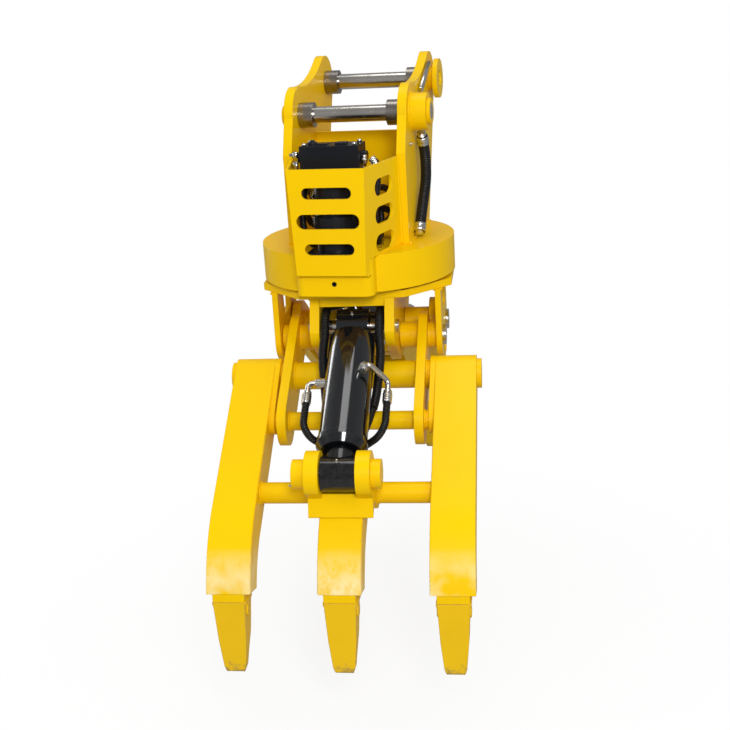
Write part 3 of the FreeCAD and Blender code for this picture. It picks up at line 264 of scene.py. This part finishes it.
def bare_metal(name, colour, shine, grain=(1, 1, 1)):
    """Turned or ground steel, with fine streaks along one way."""
    streaks = 0.1
    material, tree, shader = new_material(name)
    rounded, _ = edges(tree, 0.0012)
    lines = noise(tree, 60.0, 6.0, 0.65, grain)
    stain = ramp(tree, noise(tree, 9.0, 5.0), 0.45, 0.8)
    dark = tuple(channel * 0.62 for channel in colour)
    stained = mix(tree, maths(tree, "MULTIPLY", stain, 0.6), colour, dark)
    link(tree, stained, shader.inputs["Base Color"])
    shader.inputs["Metallic"].default_value = 1.0
    rough = ramp(tree, lines, 0.2, 0.8, shine - streaks, shine + streaks)
    link(tree, rough, shader.inputs["Roughness"])
    bump(tree, shader, lines, 0.08, 0.0005, rounded)
    return material


# Where a rod's chrome ends and its painted head begins, from the base eye in metres
CHROME_END, PAINT_START = 0.4335, 0.4345


def cylinder_rod(name, jaw):
    """A chromed shaft that ends in a painted head and eye."""
    material, tree, shader = new_material(name)
    rounded, _ = edges(tree, 0.0015)
    axis = (on_cylinder(jaw, 1000, 0, 0) - on_cylinder(jaw, 0, 0, 0)).normalized()
    place = along(tree, on_cylinder(jaw, 0, 0, 0), axis)
    painted = ramp(tree, place, CHROME_END, PAINT_START)
    fine = noise(tree, 90.0, 4.0)
    steel = mix(tree, ramp(tree, fine, 0.4, 0.8), (0.80, 0.80, 0.82), (0.70, 0.70, 0.72))
    black = mix(tree, ramp(tree, fine, 0.4, 0.8), (0.006, 0.006, 0.007), (0.02, 0.019, 0.018))
    link(tree, mix(tree, painted, steel, black), shader.inputs["Base Color"])
    shader.inputs["Specular IOR Level"].default_value = 0.5
    link(tree, maths(tree, "SUBTRACT", 1.0, painted), shader.inputs["Metallic"])
    link(tree, ramp(tree, painted, 0.0, 1.0, 0.07, 0.13), shader.inputs["Roughness"])
    bump(tree, shader, fine, 0.05, 0.0004, rounded)
    return material


def worn_steel(name, colour, low, high):
    """Painted teeth, rubbed through to steel towards their tips."""
    material, tree, shader = new_material(name)
    rounded, corner = edges(tree, 0.003)
    depth = depth_between(tree, low, high)
    rub = ramp(tree, noise(tree, 60.0, 8.0, 0.72), 0.3, 0.7)
    worn = maths(tree, "ADD", depth, maths(tree, "MULTIPLY", rub, 0.3))
    bare = ramp(tree, worn, 1.02, 1.28)
    cloud = ramp(tree, noise(tree, 7.0, 5.0), 0.4, 0.75)
    dull = tuple(channel * 0.82 for channel in colour)
    paint = mix(tree, maths(tree, "MULTIPLY", cloud, 0.35), colour, dull)
    chips = maths(tree, "MULTIPLY", ramp(tree, corner, 0.03, 0.12, 0.0, 0.8), rub)
    chipped = mix(tree, chips, paint, (0.26, 0.21, 0.15))
    link(tree, mix(tree, bare, chipped, (0.34, 0.25, 0.10)), shader.inputs["Base Color"])
    link(tree, maths(tree, "MULTIPLY", bare, 0.5), shader.inputs["Metallic"])
    link(tree, ramp(tree, rub, 0.0, 1.0, 0.32, 0.5), shader.inputs["Roughness"])
    shader.inputs["Specular IOR Level"].default_value = 0.3
    bump(tree, shader, noise(tree, 120.0, 4.0), 0.12, 0.0008, rounded)
    return material


def hose_rubber(name, pitch):
    """Black hose in a ribbed guard."""
    material, tree, shader = new_material(name)
    fine = noise(tree, 420.0, 3.0)
    dust = ramp(tree, noise(tree, 14.0, 5.0), 0.5, 0.8)
    black, dusty = (0.006, 0.006, 0.007), (0.022, 0.021, 0.02)
    colour = mix(tree, maths(tree, "MULTIPLY", dust, 0.4), black, dusty)
    link(tree, colour, shader.inputs["Base Color"])
    shader.inputs["Specular IOR Level"].default_value = 0.3
    link(tree, ramp(tree, fine, 0.3, 0.7, 0.3, 0.45), shader.inputs["Roughness"])
    ridge = maths(tree, "ADD", ribs(tree, pitch), maths(tree, "MULTIPLY", fine, 0.15))
    bump(tree, shader, ridge, 0.7, 0.0016)
    return material


YELLOW = (0.93, 0.585, 0.0)
DULL_YELLOW = (0.80, 0.48, 0.004)
BARE_EDGE = (0.30, 0.24, 0.16)
# Pale rubbed paint, which is also a painted highlight on the tines' lower fronts.
RUBBED_AND_HIGHLIGHT = (0.97, 0.84, 0.50)
# Heights in metres: the band low on the tines, rubbed and lightened by a painted highlight, and
# the teeth.
SCUFF_AND_HIGHLIGHT_LOW, SCUFF_AND_HIGHLIGHT_HIGH = -1.09, -0.97
TOOTH_TIP, TOOTH_TOP = -1.295, -1.09
HOSE_RIB = 0.0055
MATERIALS = {
    "yellow_paint": enamel(
        "grapple_yellow", YELLOW, DULL_YELLOW, BARE_EDGE,
        shine=0.3, wear=0.5, gloss=0.1, coat=0.03,
    ),
    "dark_paint": enamel(
        "motor_black", (0.007, 0.009, 0.014), (0.018, 0.018, 0.019), (0.14, 0.13, 0.12),
        shine=0.3, wear=0.4, gloss=0.22, coat=0.1,
    ),
    "black_gloss_paint": enamel(
        "cylinder_black", (0.004, 0.005, 0.007), (0.008, 0.008, 0.009), (0.08, 0.08, 0.08),
        shine=0.07, wear=0.3, gloss=0.5, coat=0.5,
    ),
    "pin_steel": bare_metal("ground_pin_steel", (0.66, 0.63, 0.59), 0.22, (1, 12, 12)),
    "bearing_steel": bare_metal("oiled_bearing_steel", (0.34, 0.33, 0.32), 0.34),
    "zinc_steel": bare_metal("zinc_fittings", (0.70, 0.69, 0.66), 0.24),
    "hose_rubber": hose_rubber("hose_rubber", HOSE_RIB),
}
FRONT_ROD = cylinder_rod("front_rod_finish", "front")
REAR_ROD = cylinder_rod("rear_rod_finish", "rear")
TINE_PAINT = enamel(
    "tine_yellow", YELLOW, DULL_YELLOW, BARE_EDGE,
    shine=0.3, wear=0.6, gloss=0.1, coat=0.03, scuffs_and_highlight=(SCUFF_AND_HIGHLIGHT_LOW, SCUFF_AND_HIGHLIGHT_HIGH, RUBBED_AND_HIGHLIGHT),
)
TOOTH_PAINT = worn_steel("tooth_yellow", (0.90, 0.55, 0.0), TOOTH_TIP, TOOTH_TOP)
COLLAR_STEEL = bare_metal("turned_collar_steel", (0.36, 0.33, 0.295), 0.3, (12, 1, 1))
# Nodes whose finish is not that of their slot.
SPECIAL = {
    "front_rod": FRONT_ROD,
    "rear_rod": REAR_ROD,
    "front_teeth": TOOTH_PAINT,
    "rear_teeth": TOOTH_PAINT,
    "pin_collars": COLLAR_STEEL,
    "front_tooth_pins": TOOTH_PAINT,
    "rear_tooth_pins": TOOTH_PAINT,
}
SLOTS = {entry["node"]: entry["material_slot"] for entry in frame["record"]["subparts"]}


def dress_nodes():
    for name, item in frame["nodes"].items():
        finish = TINE_PAINT if "_tine_" in name else SPECIAL.get(name) or MATERIALS[SLOTS[name]]
        item.data.materials.clear()
        item.data.materials.append(finish)


# How the scene's own pieces are made

def add_object(name, data):
    item = bpy.data.objects.new(name, data)
    bpy.context.scene.collection.objects.link(item)
    return item


def new_piece(name, body, slot, mesh, material=None, smooth=True):
    """A mesh that rides on a body; its finish is the slot's, unless another is given."""
    data = bpy.data.meshes.new(name)
    bmesh.ops.recalc_face_normals(mesh, faces=mesh.faces)
    mesh.to_mesh(data)
    mesh.free()
    for face in data.polygons:
        face.use_smooth = smooth
    item = add_object(name, data)
    data.materials.append(material or MATERIALS[slot])
    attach(item, body)


def new_ring(mesh, centre, side, above, radius, sides):
    turns = [math.tau * corner / sides for corner in range(sides)]
    return [
        mesh.verts.new(centre + (side * math.cos(turn) + above * math.sin(turn)) * radius)
        for turn in turns
    ]


def join_rings(mesh, rings, closed=False):
    """Faces from ring to ring, and then either back to the first or a cap on each end."""
    for first, second in zip(rings, rings[1:] + rings[:1] if closed else rings[1:]):
        for index in range(len(first)):
            following = (index + 1) % len(first)
            mesh.faces.new((first[index], first[following], second[following], second[index]))
    if not closed:
        mesh.faces.new(rings[0])
        mesh.faces.new(rings[-1])


def circle(point, radius, count=48):
    """Points round a circle that the point function places."""
    turns = [math.tau * index / count for index in range(count)]
    return [point(radius * math.cos(angle), radius * math.sin(angle)) for angle in turns]


BEAD_STEP = 0.0035
BEAD_SIDES = 6
# No weld runs this way, so it gives each bead's section a side to start from.
BEAD_LEAN = Vector((0.31, 0.17, 0.93))


def add_bead(mesh, points, radius, closed=False):
    """A weld bead: a small bar along the points, with the ripple that each pass leaves."""
    steps = []
    for start, end in zip(points, points[1:] + points[:1] if closed else points[1:]):
        count = max(1, round((end - start).length / BEAD_STEP))
        steps += [start.lerp(end, index / count) for index in range(count)]
    if not closed:
        steps.append(points[-1])
    rings = []
    total = len(steps)
    for index, at in enumerate(steps):
        before = steps[index - 1] if index or closed else at
        after = steps[(index + 1) % total] if index < total - 1 or closed else at
        ahead = (after - before).normalized()
        side = ahead.cross(BEAD_LEAN).normalized()
        swell = 1.0 + 0.13 * math.sin(index * 2.1) + 0.06 * math.sin(index * 0.57)
        rings.append(new_ring(mesh, at, side, side.cross(ahead), radius * swell, BEAD_SIDES))
    join_rings(mesh, rings, closed)


CORD_STEPS = 12
CORD_SIDES = 16


def add_cord(mesh, points, radius):
    """A round hose along a smooth curve through the points."""
    ends = [points[0] * 2 - points[1]] + points + [points[-1] * 2 - points[-2]]
    line = []
    for first, second, third, fourth in zip(ends, ends[1:], ends[2:], ends[3:]):
        square = first * 2 - second * 5 + third * 4 - fourth
        cube = second * 3 - first - third * 3 + fourth
        for step in range(CORD_STEPS):
            t = step / CORD_STEPS
            line.append((second * 2 + (third - first) * t + square * t * t + cube * t ** 3) / 2)
    line.append(points[-1])
    side = (line[1] - line[0]).normalized().orthogonal().normalized()
    rings = []
    for index, at in enumerate(line):
        after, before = line[min(index + 1, len(line) - 1)], line[max(index - 1, 0)]
        ahead = (after - before).normalized()
        side = (side - ahead * side.dot(ahead)).normalized()
        rings.append(new_ring(mesh, at, side, ahead.cross(side), radius, CORD_SIDES))
    join_rings(mesh, rings)


def add_turned(mesh, base, axis, profile, sides):
    """A turned piece from (height, radius) pairs along an axis; a hexagon with 6 sides."""
    axis = axis.normalized()
    side = axis.orthogonal().normalized()
    above = axis.cross(side)
    join_rings(mesh, [
        new_ring(mesh, base + axis * height / 1000, side, above, radius / 1000, sides)
        for height, radius in profile
    ])


def turned_piece(name, body, slot, base, axis, profile, sides):
    """A piece that is one turned shape."""
    mesh = bmesh.new()
    add_turned(mesh, base, axis, profile, sides)
    new_piece(name, body, slot, mesh)


def scaled(profile, length, width):
    return [(height * length, radius * width) for height, radius in profile]


# Turned profiles in millimetres: height along the axis, then radius
NIPPLE = ((0, 4.5), (3, 4.5), (3.2, 3.2), (6, 3.0), (7.5, 2.0), (9, 2.9), (10.5, 2.2), (11, 1.2))
NIPPLE_SIDES = 14
CRIMP = (
    (0, 8), (0.4, 12.4), (4, 12.6), (5, 11.6), (6, 12.6), (11, 12.6), (12, 11.6), (13, 12.6),
    (18, 12.6), (19, 11.6), (20, 12.6), (27, 12.4), (29, 10.8), (31, 10.0),
)
HEX_NUT = ((0, 12.0), (0.8, 13.4), (12.2, 13.4), (13, 12.0))
SMALL_NUT = ((0, 9), (0.8, 10.6), (7, 10.6), (8, 8.5))
SCREW = ((0, 6.5), (7.4, 6.5), (8, 6.0), (8, 3.6), (4.6, 3.2))
VALVE_CAP = ((0, 12), (1, 14), (7, 14), (9, 12), (9.5, 7), (13, 7), (14, 5))
PIN_BOSS = ((0, 19), (4.4, 18), (5.6, 16), (5.9, 11.5), (4.8, 10.4))
HOLE_RIM = ((0, 6.2), (0.8, 6.6), (1.2, 5.2), (0.4, 3.8), (-3, 3.6))
SLEEVE = (
    (-26, 15.3), (-25, 17.4), (-18, 17.4), (-17, 16.2),
    (-16, 17.4), (-4, 17.4), (-2, 15), (0, 12),
)
HEX = 6

# Weld beads: their radii in metres, and where they run in millimetres
EAR_BEAD, GUARD_BEAD, NOSE_BEAD = 0.0042, 0.0036, 0.004
LUG_BEAD, ROUND_BEAD, SEAM_BEAD = 0.0038, 0.0034, 0.0018
EAR_FACES = (171.5, 143.5)
# Round the pins on the ears' faces: the face, the bead's radius, and the pin's place.
EAR_ROUNDS = (
    (171, 51, 0, 341), (171, 32, 300, 404), (-171, 32, 0, 341), (-171, 32, 300, 404),
)
PLATE_UNDERSIDE = -130
# The faces of the outer and inner lugs, and how far they reach.
LUGS = (((218.5, 237.5), 134), ((87.5, 116.5), 210))
# Where a tube meets a tine or an arm: its place along and above the tine, and its radius.
TOP_TUBE, MIDDLE_TUBE, LOW_TUBE = (0, 0, 38.5), (160.9, 6.5, 25.5), (384, 0, 28)
CLEVIS_FACE = 82.5
# A tine's front runs straight along its top, and then bends.
TINE_TOP, BEND_START, BEND_RADIUS, BEND_ANGLE, BEND_STEPS = 46, 460, 309, 40, 8
SIDE_SEAM_START, CENTRE_SEAM_START = 10, 400
CENTRE_TINE = 53
SEAM_INSET = 1.8


def add_welds():
    mesh = bmesh.new()
    for side in (-1, 1):
        for x in EAR_FACES:
            add_bead(mesh, [upper(x * side, -110, 1.5), upper(x * side, 200, 1.5)], EAR_BEAD)
        add_bead(mesh, [upper(150 * side, -117, 4), upper(148 * side, -117, 236)], GUARD_BEAD)
        add_bead(mesh, [upper(-100 * side, -302, -42), upper(100 * side, -302, -42)], NOSE_BEAD)
    for x, radius, y, z in EAR_ROUNDS:
        points = circle(lambda a, b: upper(x, y + a, z + b), radius)
        add_bead(mesh, points, ROUND_BEAD, True)
    new_piece("hanger_welds", "hanger", "yellow_paint", mesh)

    mesh = bmesh.new()
    for side in (-1, 1):
        for faces, reach in LUGS:
            for x in faces:
                ends = [lower(x * side, y, PLATE_UNDERSIDE) for y in (-reach, reach)]
                add_bead(mesh, ends, LUG_BEAD)
    new_piece("turntable_welds", "turntable", "yellow_paint", mesh)


def add_jaw_welds(jaw, arm, inner, outer):
    """Beads round the tubes on the faces of arms and tines, and along the tines' edges."""
    mesh = bmesh.new()
    faces = (inner - 1,) if jaw == "front" else (inner - 1, outer + 1)
    for side in (-1, 1):
        rounds = [(*tube, z) for tube in (TOP_TUBE, MIDDLE_TUBE) for z in arm]
        rounds += [(*tube, z) for z in faces for tube in (TOP_TUBE, MIDDLE_TUBE, LOW_TUBE)]
        rounds.append((*LOW_TUBE, CLEVIS_FACE))
        for s, t, radius, z in rounds:
            points = circle(lambda a, b: on_tine(jaw, s + a, t + b, z * side), radius, 36)
            add_bead(mesh, points, ROUND_BEAD, True)
    seams = [z * side for z in (inner, outer - SEAM_INSET) for side in (-1, 1)]
    if jaw == "front":
        seams += [-CENTRE_TINE, CENTRE_TINE]
    for z in seams:
        start = CENTRE_SEAM_START if abs(z) == CENTRE_TINE else SIDE_SEAM_START
        line = [on_tine(jaw, start, TINE_TOP, z), on_tine(jaw, BEND_START, TINE_TOP, z)]
        for step in range(1, BEND_STEPS + 1):
            angle = math.radians(BEND_ANGLE * step / BEND_STEPS)
            s = BEND_START + BEND_RADIUS * math.sin(angle)
            t = TINE_TOP - BEND_RADIUS + BEND_RADIUS * math.cos(angle)
            line.append(on_tine(jaw, s, t, z))
        add_bead(mesh, line, SEAM_BEAD)
    new_piece(f"{jaw}_jaw_welds", f"{jaw}_jaw", "yellow_paint", mesh, TINE_PAINT)


def add_cylinder_fittings(jaw):
    origin = on_cylinder(jaw, 0, 0, 0)
    ahead = on_cylinder(jaw, 1, 0, 0) - origin
    rise = on_cylinder(jaw, 0, 1, 0) - origin
    out = on_cylinder(jaw, 0, 0, 1) - origin
    mesh = bmesh.new()
    add_turned(mesh, on_cylinder(jaw, 0, 47.5, 0), rise, NIPPLE, NIPPLE_SIDES)
    for hand, aim in ((-1, math.radians(52)), (1, 0.0)):
        add_turned(mesh, on_cylinder(jaw, 244, 2, 106 * hand), ahead, CRIMP, 28)
        outward = rise * math.sin(aim) + out * math.cos(aim) * hand
        foot = on_cylinder(jaw, 202, 0, 0) + outward.normalized() * 0.0655
        add_turned(mesh, foot, outward, HEX_NUT, HEX)
        add_turned(mesh, foot + outward.normalized() * 0.0145, outward, SMALL_NUT, HEX)
    new_piece(f"{jaw}_barrel_fittings", f"{jaw}_cylinder_barrel", "zinc_steel", mesh)
    turned_piece(
        f"{jaw}_rod_nipple", f"{jaw}_cylinder_rod", "zinc_steel",
        on_cylinder(jaw, CYLINDER_LENGTH - 4, 43.5, 0), rise, NIPPLE, NIPPLE_SIDES,
    )
    clevis_side = 116 if jaw == "front" else -116
    turned_piece(
        f"{jaw}_pin_nipple", f"{jaw}_jaw", "zinc_steel",
        on_cylinder(jaw, CYLINDER_LENGTH + 20, -20, clevis_side), out, NIPPLE, NIPPLE_SIDES,
    )


SWIVEL_LEVEL = -168


def add_swivel_fittings():
    mesh = bmesh.new()
    for jaw in ("front", "rear"):
        ahead = on_side(jaw, 1, 0, 0) - on_side(jaw, 0, 0, 0)
        for z, shift in ((16, 2), (-44, -4)):
            add_turned(mesh, on_side(jaw, 60, SWIVEL_LEVEL, z), ahead, HEX_NUT, HEX)
            start = on_side(jaw, 77, SWIVEL_LEVEL, z)
            slant = on_side(jaw, 112, SWIVEL_LEVEL, z + shift) - start
            add_turned(mesh, start, slant, scaled(CRIMP, 0.9, 0.93), 28)
    new_piece("swivel_fittings", "turntable", "zinc_steel", mesh)


# Pads cast on the valve block: place across, length, width and height
CAST_PADS = ((-38, 34, 24, 4), (14, 30, 28, 6), (52, 16, 20, 3))


def add_valve_parts():
    low, high = (Vector(corner) * 1000 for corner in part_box("relief_valve_block"))
    top = high.z - HOUSING_TOP
    middle = (low.y + high.y) / 2
    rise, left = Vector((0, 0, 1)), Vector((-1, 0, 0))
    mesh = bmesh.new()
    for x in (low.x + 26, high.x - 26):
        for y in (low.y + 12, high.y - 12):
            add_turned(mesh, upper(x, y, top - 1), rise, SCREW, 18)
    for height, wide in ((-52, 11), (-24, 8)):
        stem = wide * 0.6
        cap = ((0, wide), (0.8, wide + 1), (11, wide + 1), (12, wide), (13, stem), (22, stem))
        add_turned(mesh, upper(low.x + 2, middle - 16, top + height), left, cap, HEX)
    add_turned(mesh, upper(high.x - 12, middle - 14, top - 40), -left, HEX_NUT, HEX)
    new_piece("valve_screws", "hanger", "zinc_steel", mesh)

    mesh = bmesh.new()
    corners = ((-1, -1), (1, -1), (1, 1), (-1, 1))
    for x, length, width, height in CAST_PADS:
        join_rings(mesh, [
            [
                mesh.verts.new(upper(
                    x + a * length / 2 * share, middle - 8 + b * width / 2 * share, top + level
                ))
                for a, b in corners
            ]
            for share, level in ((1.0, -1), (1.0, height - 2), (0.92, height))
        ])
    add_turned(mesh, upper(-66, middle - 6, top - 2), rise, VALVE_CAP, 24)
    new_piece("valve_cast_pads", "hanger", "dark_paint", mesh, smooth=False)


# Hoses from the relief valves down past the swing motor, through points of the hanger's frame.
# Some are hoses seen in the guard's slots; the rest are painted shade, dark pieces that
# darken the slots where the housing, closed above, lies in shade.
MOTOR_HOSE_RADIUS = 0.009
HOSES_AND_SHADE_IN_GUARD = (
    ((-90, -172, 217), (-92, -190, 170), (-84, -255, 120), (-80, -262, 70), (-84, -200, 24),
     (-72, -150, 1)),
    ((-60, -150, 217), (-70, -140, 150), (-78, -135, 70), (-60, -120, 1)),
    ((60, -168, 217), (88, -196, 175), (86, -250, 125), (84, -262, 75), (88, -200, 24),
     (72, -150, 1)),
    ((44, -150, 217), (84, -140, 160), (100, -136, 90), (90, -120, 1)),
    ((92, -172, 242), (108, -182, 222), (108, -205, 165), (101, -215, 100), (104, -190, 40),
     (92, -160, 1)),
    ((60, -203, 150), (104, -128, 158), (116, -62, 122), (106, -36, 62), (48, -22, 13)),
    ((-60, -203, 150), (-102, -128, 158), (-108, -62, 122), (-102, -36, 62), (-48, -22, 13)),
    ((58, -205, 100), (98, -140, 104), (128, -90, 78), (118, -46, 40), (44, 14, 13)),
    ((-58, -205, 100), (-96, -140, 104), (-122, -80, 78), (-112, -46, 40), (-44, 14, 13)),
)


def add_hoses_and_shade_in_guard():
    hoses = bmesh.new()
    crimps = bmesh.new()
    for route in HOSES_AND_SHADE_IN_GUARD:
        line = [upper(*at) for at in route]
        add_cord(hoses, line, MOTOR_HOSE_RADIUS)
        for end, inner in ((line[0], line[1]), (line[-1], line[-2])):
            add_turned(crimps, end, inner - end, scaled(CRIMP, 0.8, 0.85), 18)
    # Their black is partly painted shade inside the guard.
    new_piece("hoses_and_shade_in_guard", "hanger", "hose_rubber", hoses)
    new_piece("motor_hose_crimps", "hanger", "zinc_steel", crimps)


# The lip where a tooth meets its adapter: place along the tooth, and how far it stands out.
LIP_PROFILE = ((14.8, -2), (14.8, 1.6), (16.4, 3.2), (24, 3.2), (27.5, -2.5))
LIP_TOP = 37.2
LIP_CORNER_STEPS = 7
PIN_PLACE, BOSS_FOOT = 45, 36.8


def add_tooth_lips(jaw, centres):
    """A lip round the root of each tooth, and a boss on each end of its pin."""
    mesh = bmesh.new()
    for centre in centres:
        for hand in (-1, 1):
            out = on_tooth(jaw, PIN_PLACE, 0, hand) - on_tooth(jaw, PIN_PLACE, 0, 0)
            foot = on_tooth(jaw, PIN_PLACE, 0, centre + hand * BOSS_FOOT)
            add_turned(mesh, foot, out, PIN_BOSS, 32)
        rings = []
        for x, spread in LIP_PROFILE:
            across, high, soft = 40 + spread, 39 + spread, 9 + spread
            ring = []
            for quarter, (a, b) in enumerate(((1, 1), (-1, 1), (-1, -1), (1, -1))):
                for step in range(LIP_CORNER_STEPS):
                    angle = math.tau * (quarter / 4 + step / 24)
                    z = a * (across - soft) + soft * math.cos(angle)
                    y = b * (high - soft) + soft * math.sin(angle)
                    ring.append(mesh.verts.new(on_tooth(jaw, x, min(y, LIP_TOP), centre + z)))
            rings.append(ring)
        join_rings(mesh, rings, closed=True)
    new_piece(f"{jaw}_tooth_lips", f"{jaw}_jaw", "yellow_paint", mesh, TOOTH_PAINT)


def add_hanger_fittings():
    forward = Vector((0, -1, 0))
    # A small hole in the nose: the black paint in its shallow recess is painted shade for the
    # dark inside the hole.
    turned_piece("nose_hole_shade", "hanger", "dark_paint", upper(2, -300, -66), forward, HOLE_RIM, 20)

    mesh = bmesh.new()
    low, high = (Vector(corner) * 1000 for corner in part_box("supply_hose"))
    x = (low.x + high.x) / 2
    add_turned(
        mesh, upper(x + 0.5, 30, 272), Vector((-0.05, -0.36, 0.93)), SLEEVE + ((12, 12),), 28
    )
    add_turned(mesh, upper(x - 4, -40, 16), Vector((0, -0.5, -0.83)), SLEEVE + ((8, 12),), 28)
    new_piece("supply_hose_ends", "hanger", "zinc_steel", mesh)

    foot = upper(178, 244, 452)
    way = upper(178, 98, 390) - foot
    length = way.length * 1000
    bar = ((0, 5), (2, 8), (length - 2, 8), (length, 5))
    turned_piece("lock_bar", "hanger", "pin_steel", foot, way, bar, 24)
    turned_piece(
        "ear_nipple", "hanger", "zinc_steel",
        upper(172, -60, 262), Vector((1, 0, 0)), NIPPLE, NIPPLE_SIDES,
    )


# Camera, as fitted to the photograph

CAMERA_AT = lower(424, -3200, 669)
CAMERA_HEADING = math.radians(-14.0)
CAMERA_PITCH = math.radians(18.15)
CAMERA_ROLL = math.radians(-3.40)
PICTURE_SIZE = 730
FOCAL_PIXELS = 1150
SENSOR_WIDTH = 36


def set_camera():
    data = bpy.data.cameras.new("camera")
    data.sensor_width = SENSOR_WIDTH
    data.lens = SENSOR_WIDTH * (FOCAL_PIXELS / PICTURE_SIZE)
    data.clip_end = 40
    camera = add_object("camera", data)
    level = Vector((math.sin(CAMERA_HEADING), math.cos(CAMERA_HEADING), 0))
    ahead = level * math.cos(CAMERA_PITCH) - Vector((0, 0, math.sin(CAMERA_PITCH)))
    side = Vector((level.y, -level.x, 0))
    above = side.cross(ahead)
    right = side * math.cos(CAMERA_ROLL) + above * math.sin(CAMERA_ROLL)
    up = above * math.cos(CAMERA_ROLL) - side * math.sin(CAMERA_ROLL)
    turn = Matrix((right, up, -ahead)).transposed()
    camera.matrix_world = Matrix.Translation(CAMERA_AT) @ turn.to_4x4()
    bpy.context.scene.camera = camera


# Lights and backdrop

ROOM_LIGHT = 0.54
ROOM_MIRRORED = 0.3
# The tips of the teeth hang this much lower when the jaws close.
CLOSED_DROP = 0.272
FLOOR_SIZE = 15
# Name, place, aim, power and size; a strip has its width and its height.
LAMPS = (
    ("key", (1.4, -4.1, 1.5), (0, 0, -0.5), 96, (1.1,)),
    ("fill", (-3.4, -2.2, 1.0), (0, 0, -0.6), 17, (2.4,)),
    ("top", (0.2, 0.6, 4.0), (0, 0, -0.6), 47, (2.4,)),
    ("right_strip", (2.2, -2.1, 0.9), (0, 0, -0.3), 12, (0.08, 1.6)),
    ("left_strip", (-2.4, 1.2, 0.2), (0, 0, -0.6), 12, (0.3, 2.2)),
)


def add_light(name, at, toward, power, size):
    data = bpy.data.lights.new(name, "AREA")
    data.shape = "DISK"
    data.size = size[0]
    if len(size) == 2:
        data.shape = "RECTANGLE"
        data.size_y = size[1]
    data.energy = power
    item = add_object(name, data)
    item.location = at
    aim = (Vector(toward) - Vector(at)).to_track_quat("-Z", "Y")
    item.rotation_euler = aim.to_euler()


def seen_directly(tree):
    """One for rays straight from the camera, also through glass, and zero for others."""
    path = tree.nodes.new("ShaderNodeLightPath")
    return maths(
        tree, "MAXIMUM", path.outputs["Is Camera Ray"], path.outputs["Is Transmission Ray"]
    )


def room_light(tree):
    """White behind the object, softer as its light, and dim where metal and gloss mirror it."""
    path = tree.nodes.new("ShaderNodeLightPath")
    lit = maths(tree, "MULTIPLY", seen_directly(tree), 1.0 - ROOM_LIGHT)
    dim = maths(tree, "MULTIPLY", path.outputs["Is Glossy Ray"], ROOM_LIGHT - ROOM_MIRRORED)
    return maths(tree, "ADD", maths(tree, "SUBTRACT", lit, dim), ROOM_LIGHT)


def floor_paint():
    """A pale floor that shows the shadow near the object and is plain white further out."""
    material, tree, shader = new_material("pale_floor")
    pale = mix(tree, seen_directly(tree), (0.42, 0.42, 0.42), (0.93, 0.93, 0.93))
    link(tree, pale, shader.inputs["Base Color"])
    link(tree, ramp(tree, noise(tree, 3.0), 0.0, 1.0, 0.9, 0.92), shader.inputs["Roughness"])
    shader.inputs["Specular IOR Level"].default_value = 0.0
    white = tree.nodes.new("ShaderNodeEmission")
    white.inputs["Strength"].default_value = 1.0
    place = tree.nodes.new("ShaderNodeTexCoord")
    length = tree.nodes.new("ShaderNodeVectorMath")
    length.operation = "LENGTH"
    link(tree, place.outputs["Object"], length.inputs[0])
    far = ramp(tree, length.outputs["Value"], 0.2, 1.4, 0.8, 1.0)
    blend = tree.nodes.new("ShaderNodeMixShader")
    link(tree, maths(tree, "MULTIPLY", far, seen_directly(tree)), blend.inputs[0])
    link(tree, shader.outputs[0], blend.inputs[1])
    link(tree, white.outputs[0], blend.inputs[2])
    link(tree, blend.outputs[0], tree.nodes["Material Output"].inputs["Surface"])
    return material


def add_floor():
    mesh = bmesh.new()
    bmesh.ops.create_grid(mesh, x_segments=1, y_segments=1, size=FLOOR_SIZE)
    data = bpy.data.meshes.new("floor")
    mesh.to_mesh(data)
    mesh.free()
    floor = add_object("floor", data)
    floor.location = (0, 0, cad_box[0][2] - CLOSED_DROP)
    data.materials.append(floor_paint())


def set_stage():
    scene = bpy.context.scene
    scene.render.resolution_x = PICTURE_SIZE
    scene.render.resolution_y = PICTURE_SIZE
    scene.view_settings.view_transform = "Standard"
    world = bpy.data.worlds.new("studio")
    world.use_nodes = True
    tree = world.node_tree
    light = tree.nodes["Background"]
    light.inputs["Color"].default_value = (1, 1, 1, 1)
    link(tree, room_light(tree), light.inputs["Strength"])
    scene.world = world
    add_floor()
    for lamp in LAMPS:
        add_light(*lamp)


set_camera()
set_stage()
dress_nodes()
add_welds()
# The arms' two faces, and the inner and outer face of a side tine.
add_jaw_welds("front", (169, 196), 222, 332)
add_jaw_welds("rear", (189, 216), 87, 187)
add_cylinder_fittings("front")
add_cylinder_fittings("rear")
add_swivel_fittings()
add_valve_parts()
add_hoses_and_shade_in_guard()
# The middles of the teeth, across the jaw.
add_tooth_lips("front", (-277, 0, 277))
add_tooth_lips("rear", (-137, 137))
add_hanger_fittings()
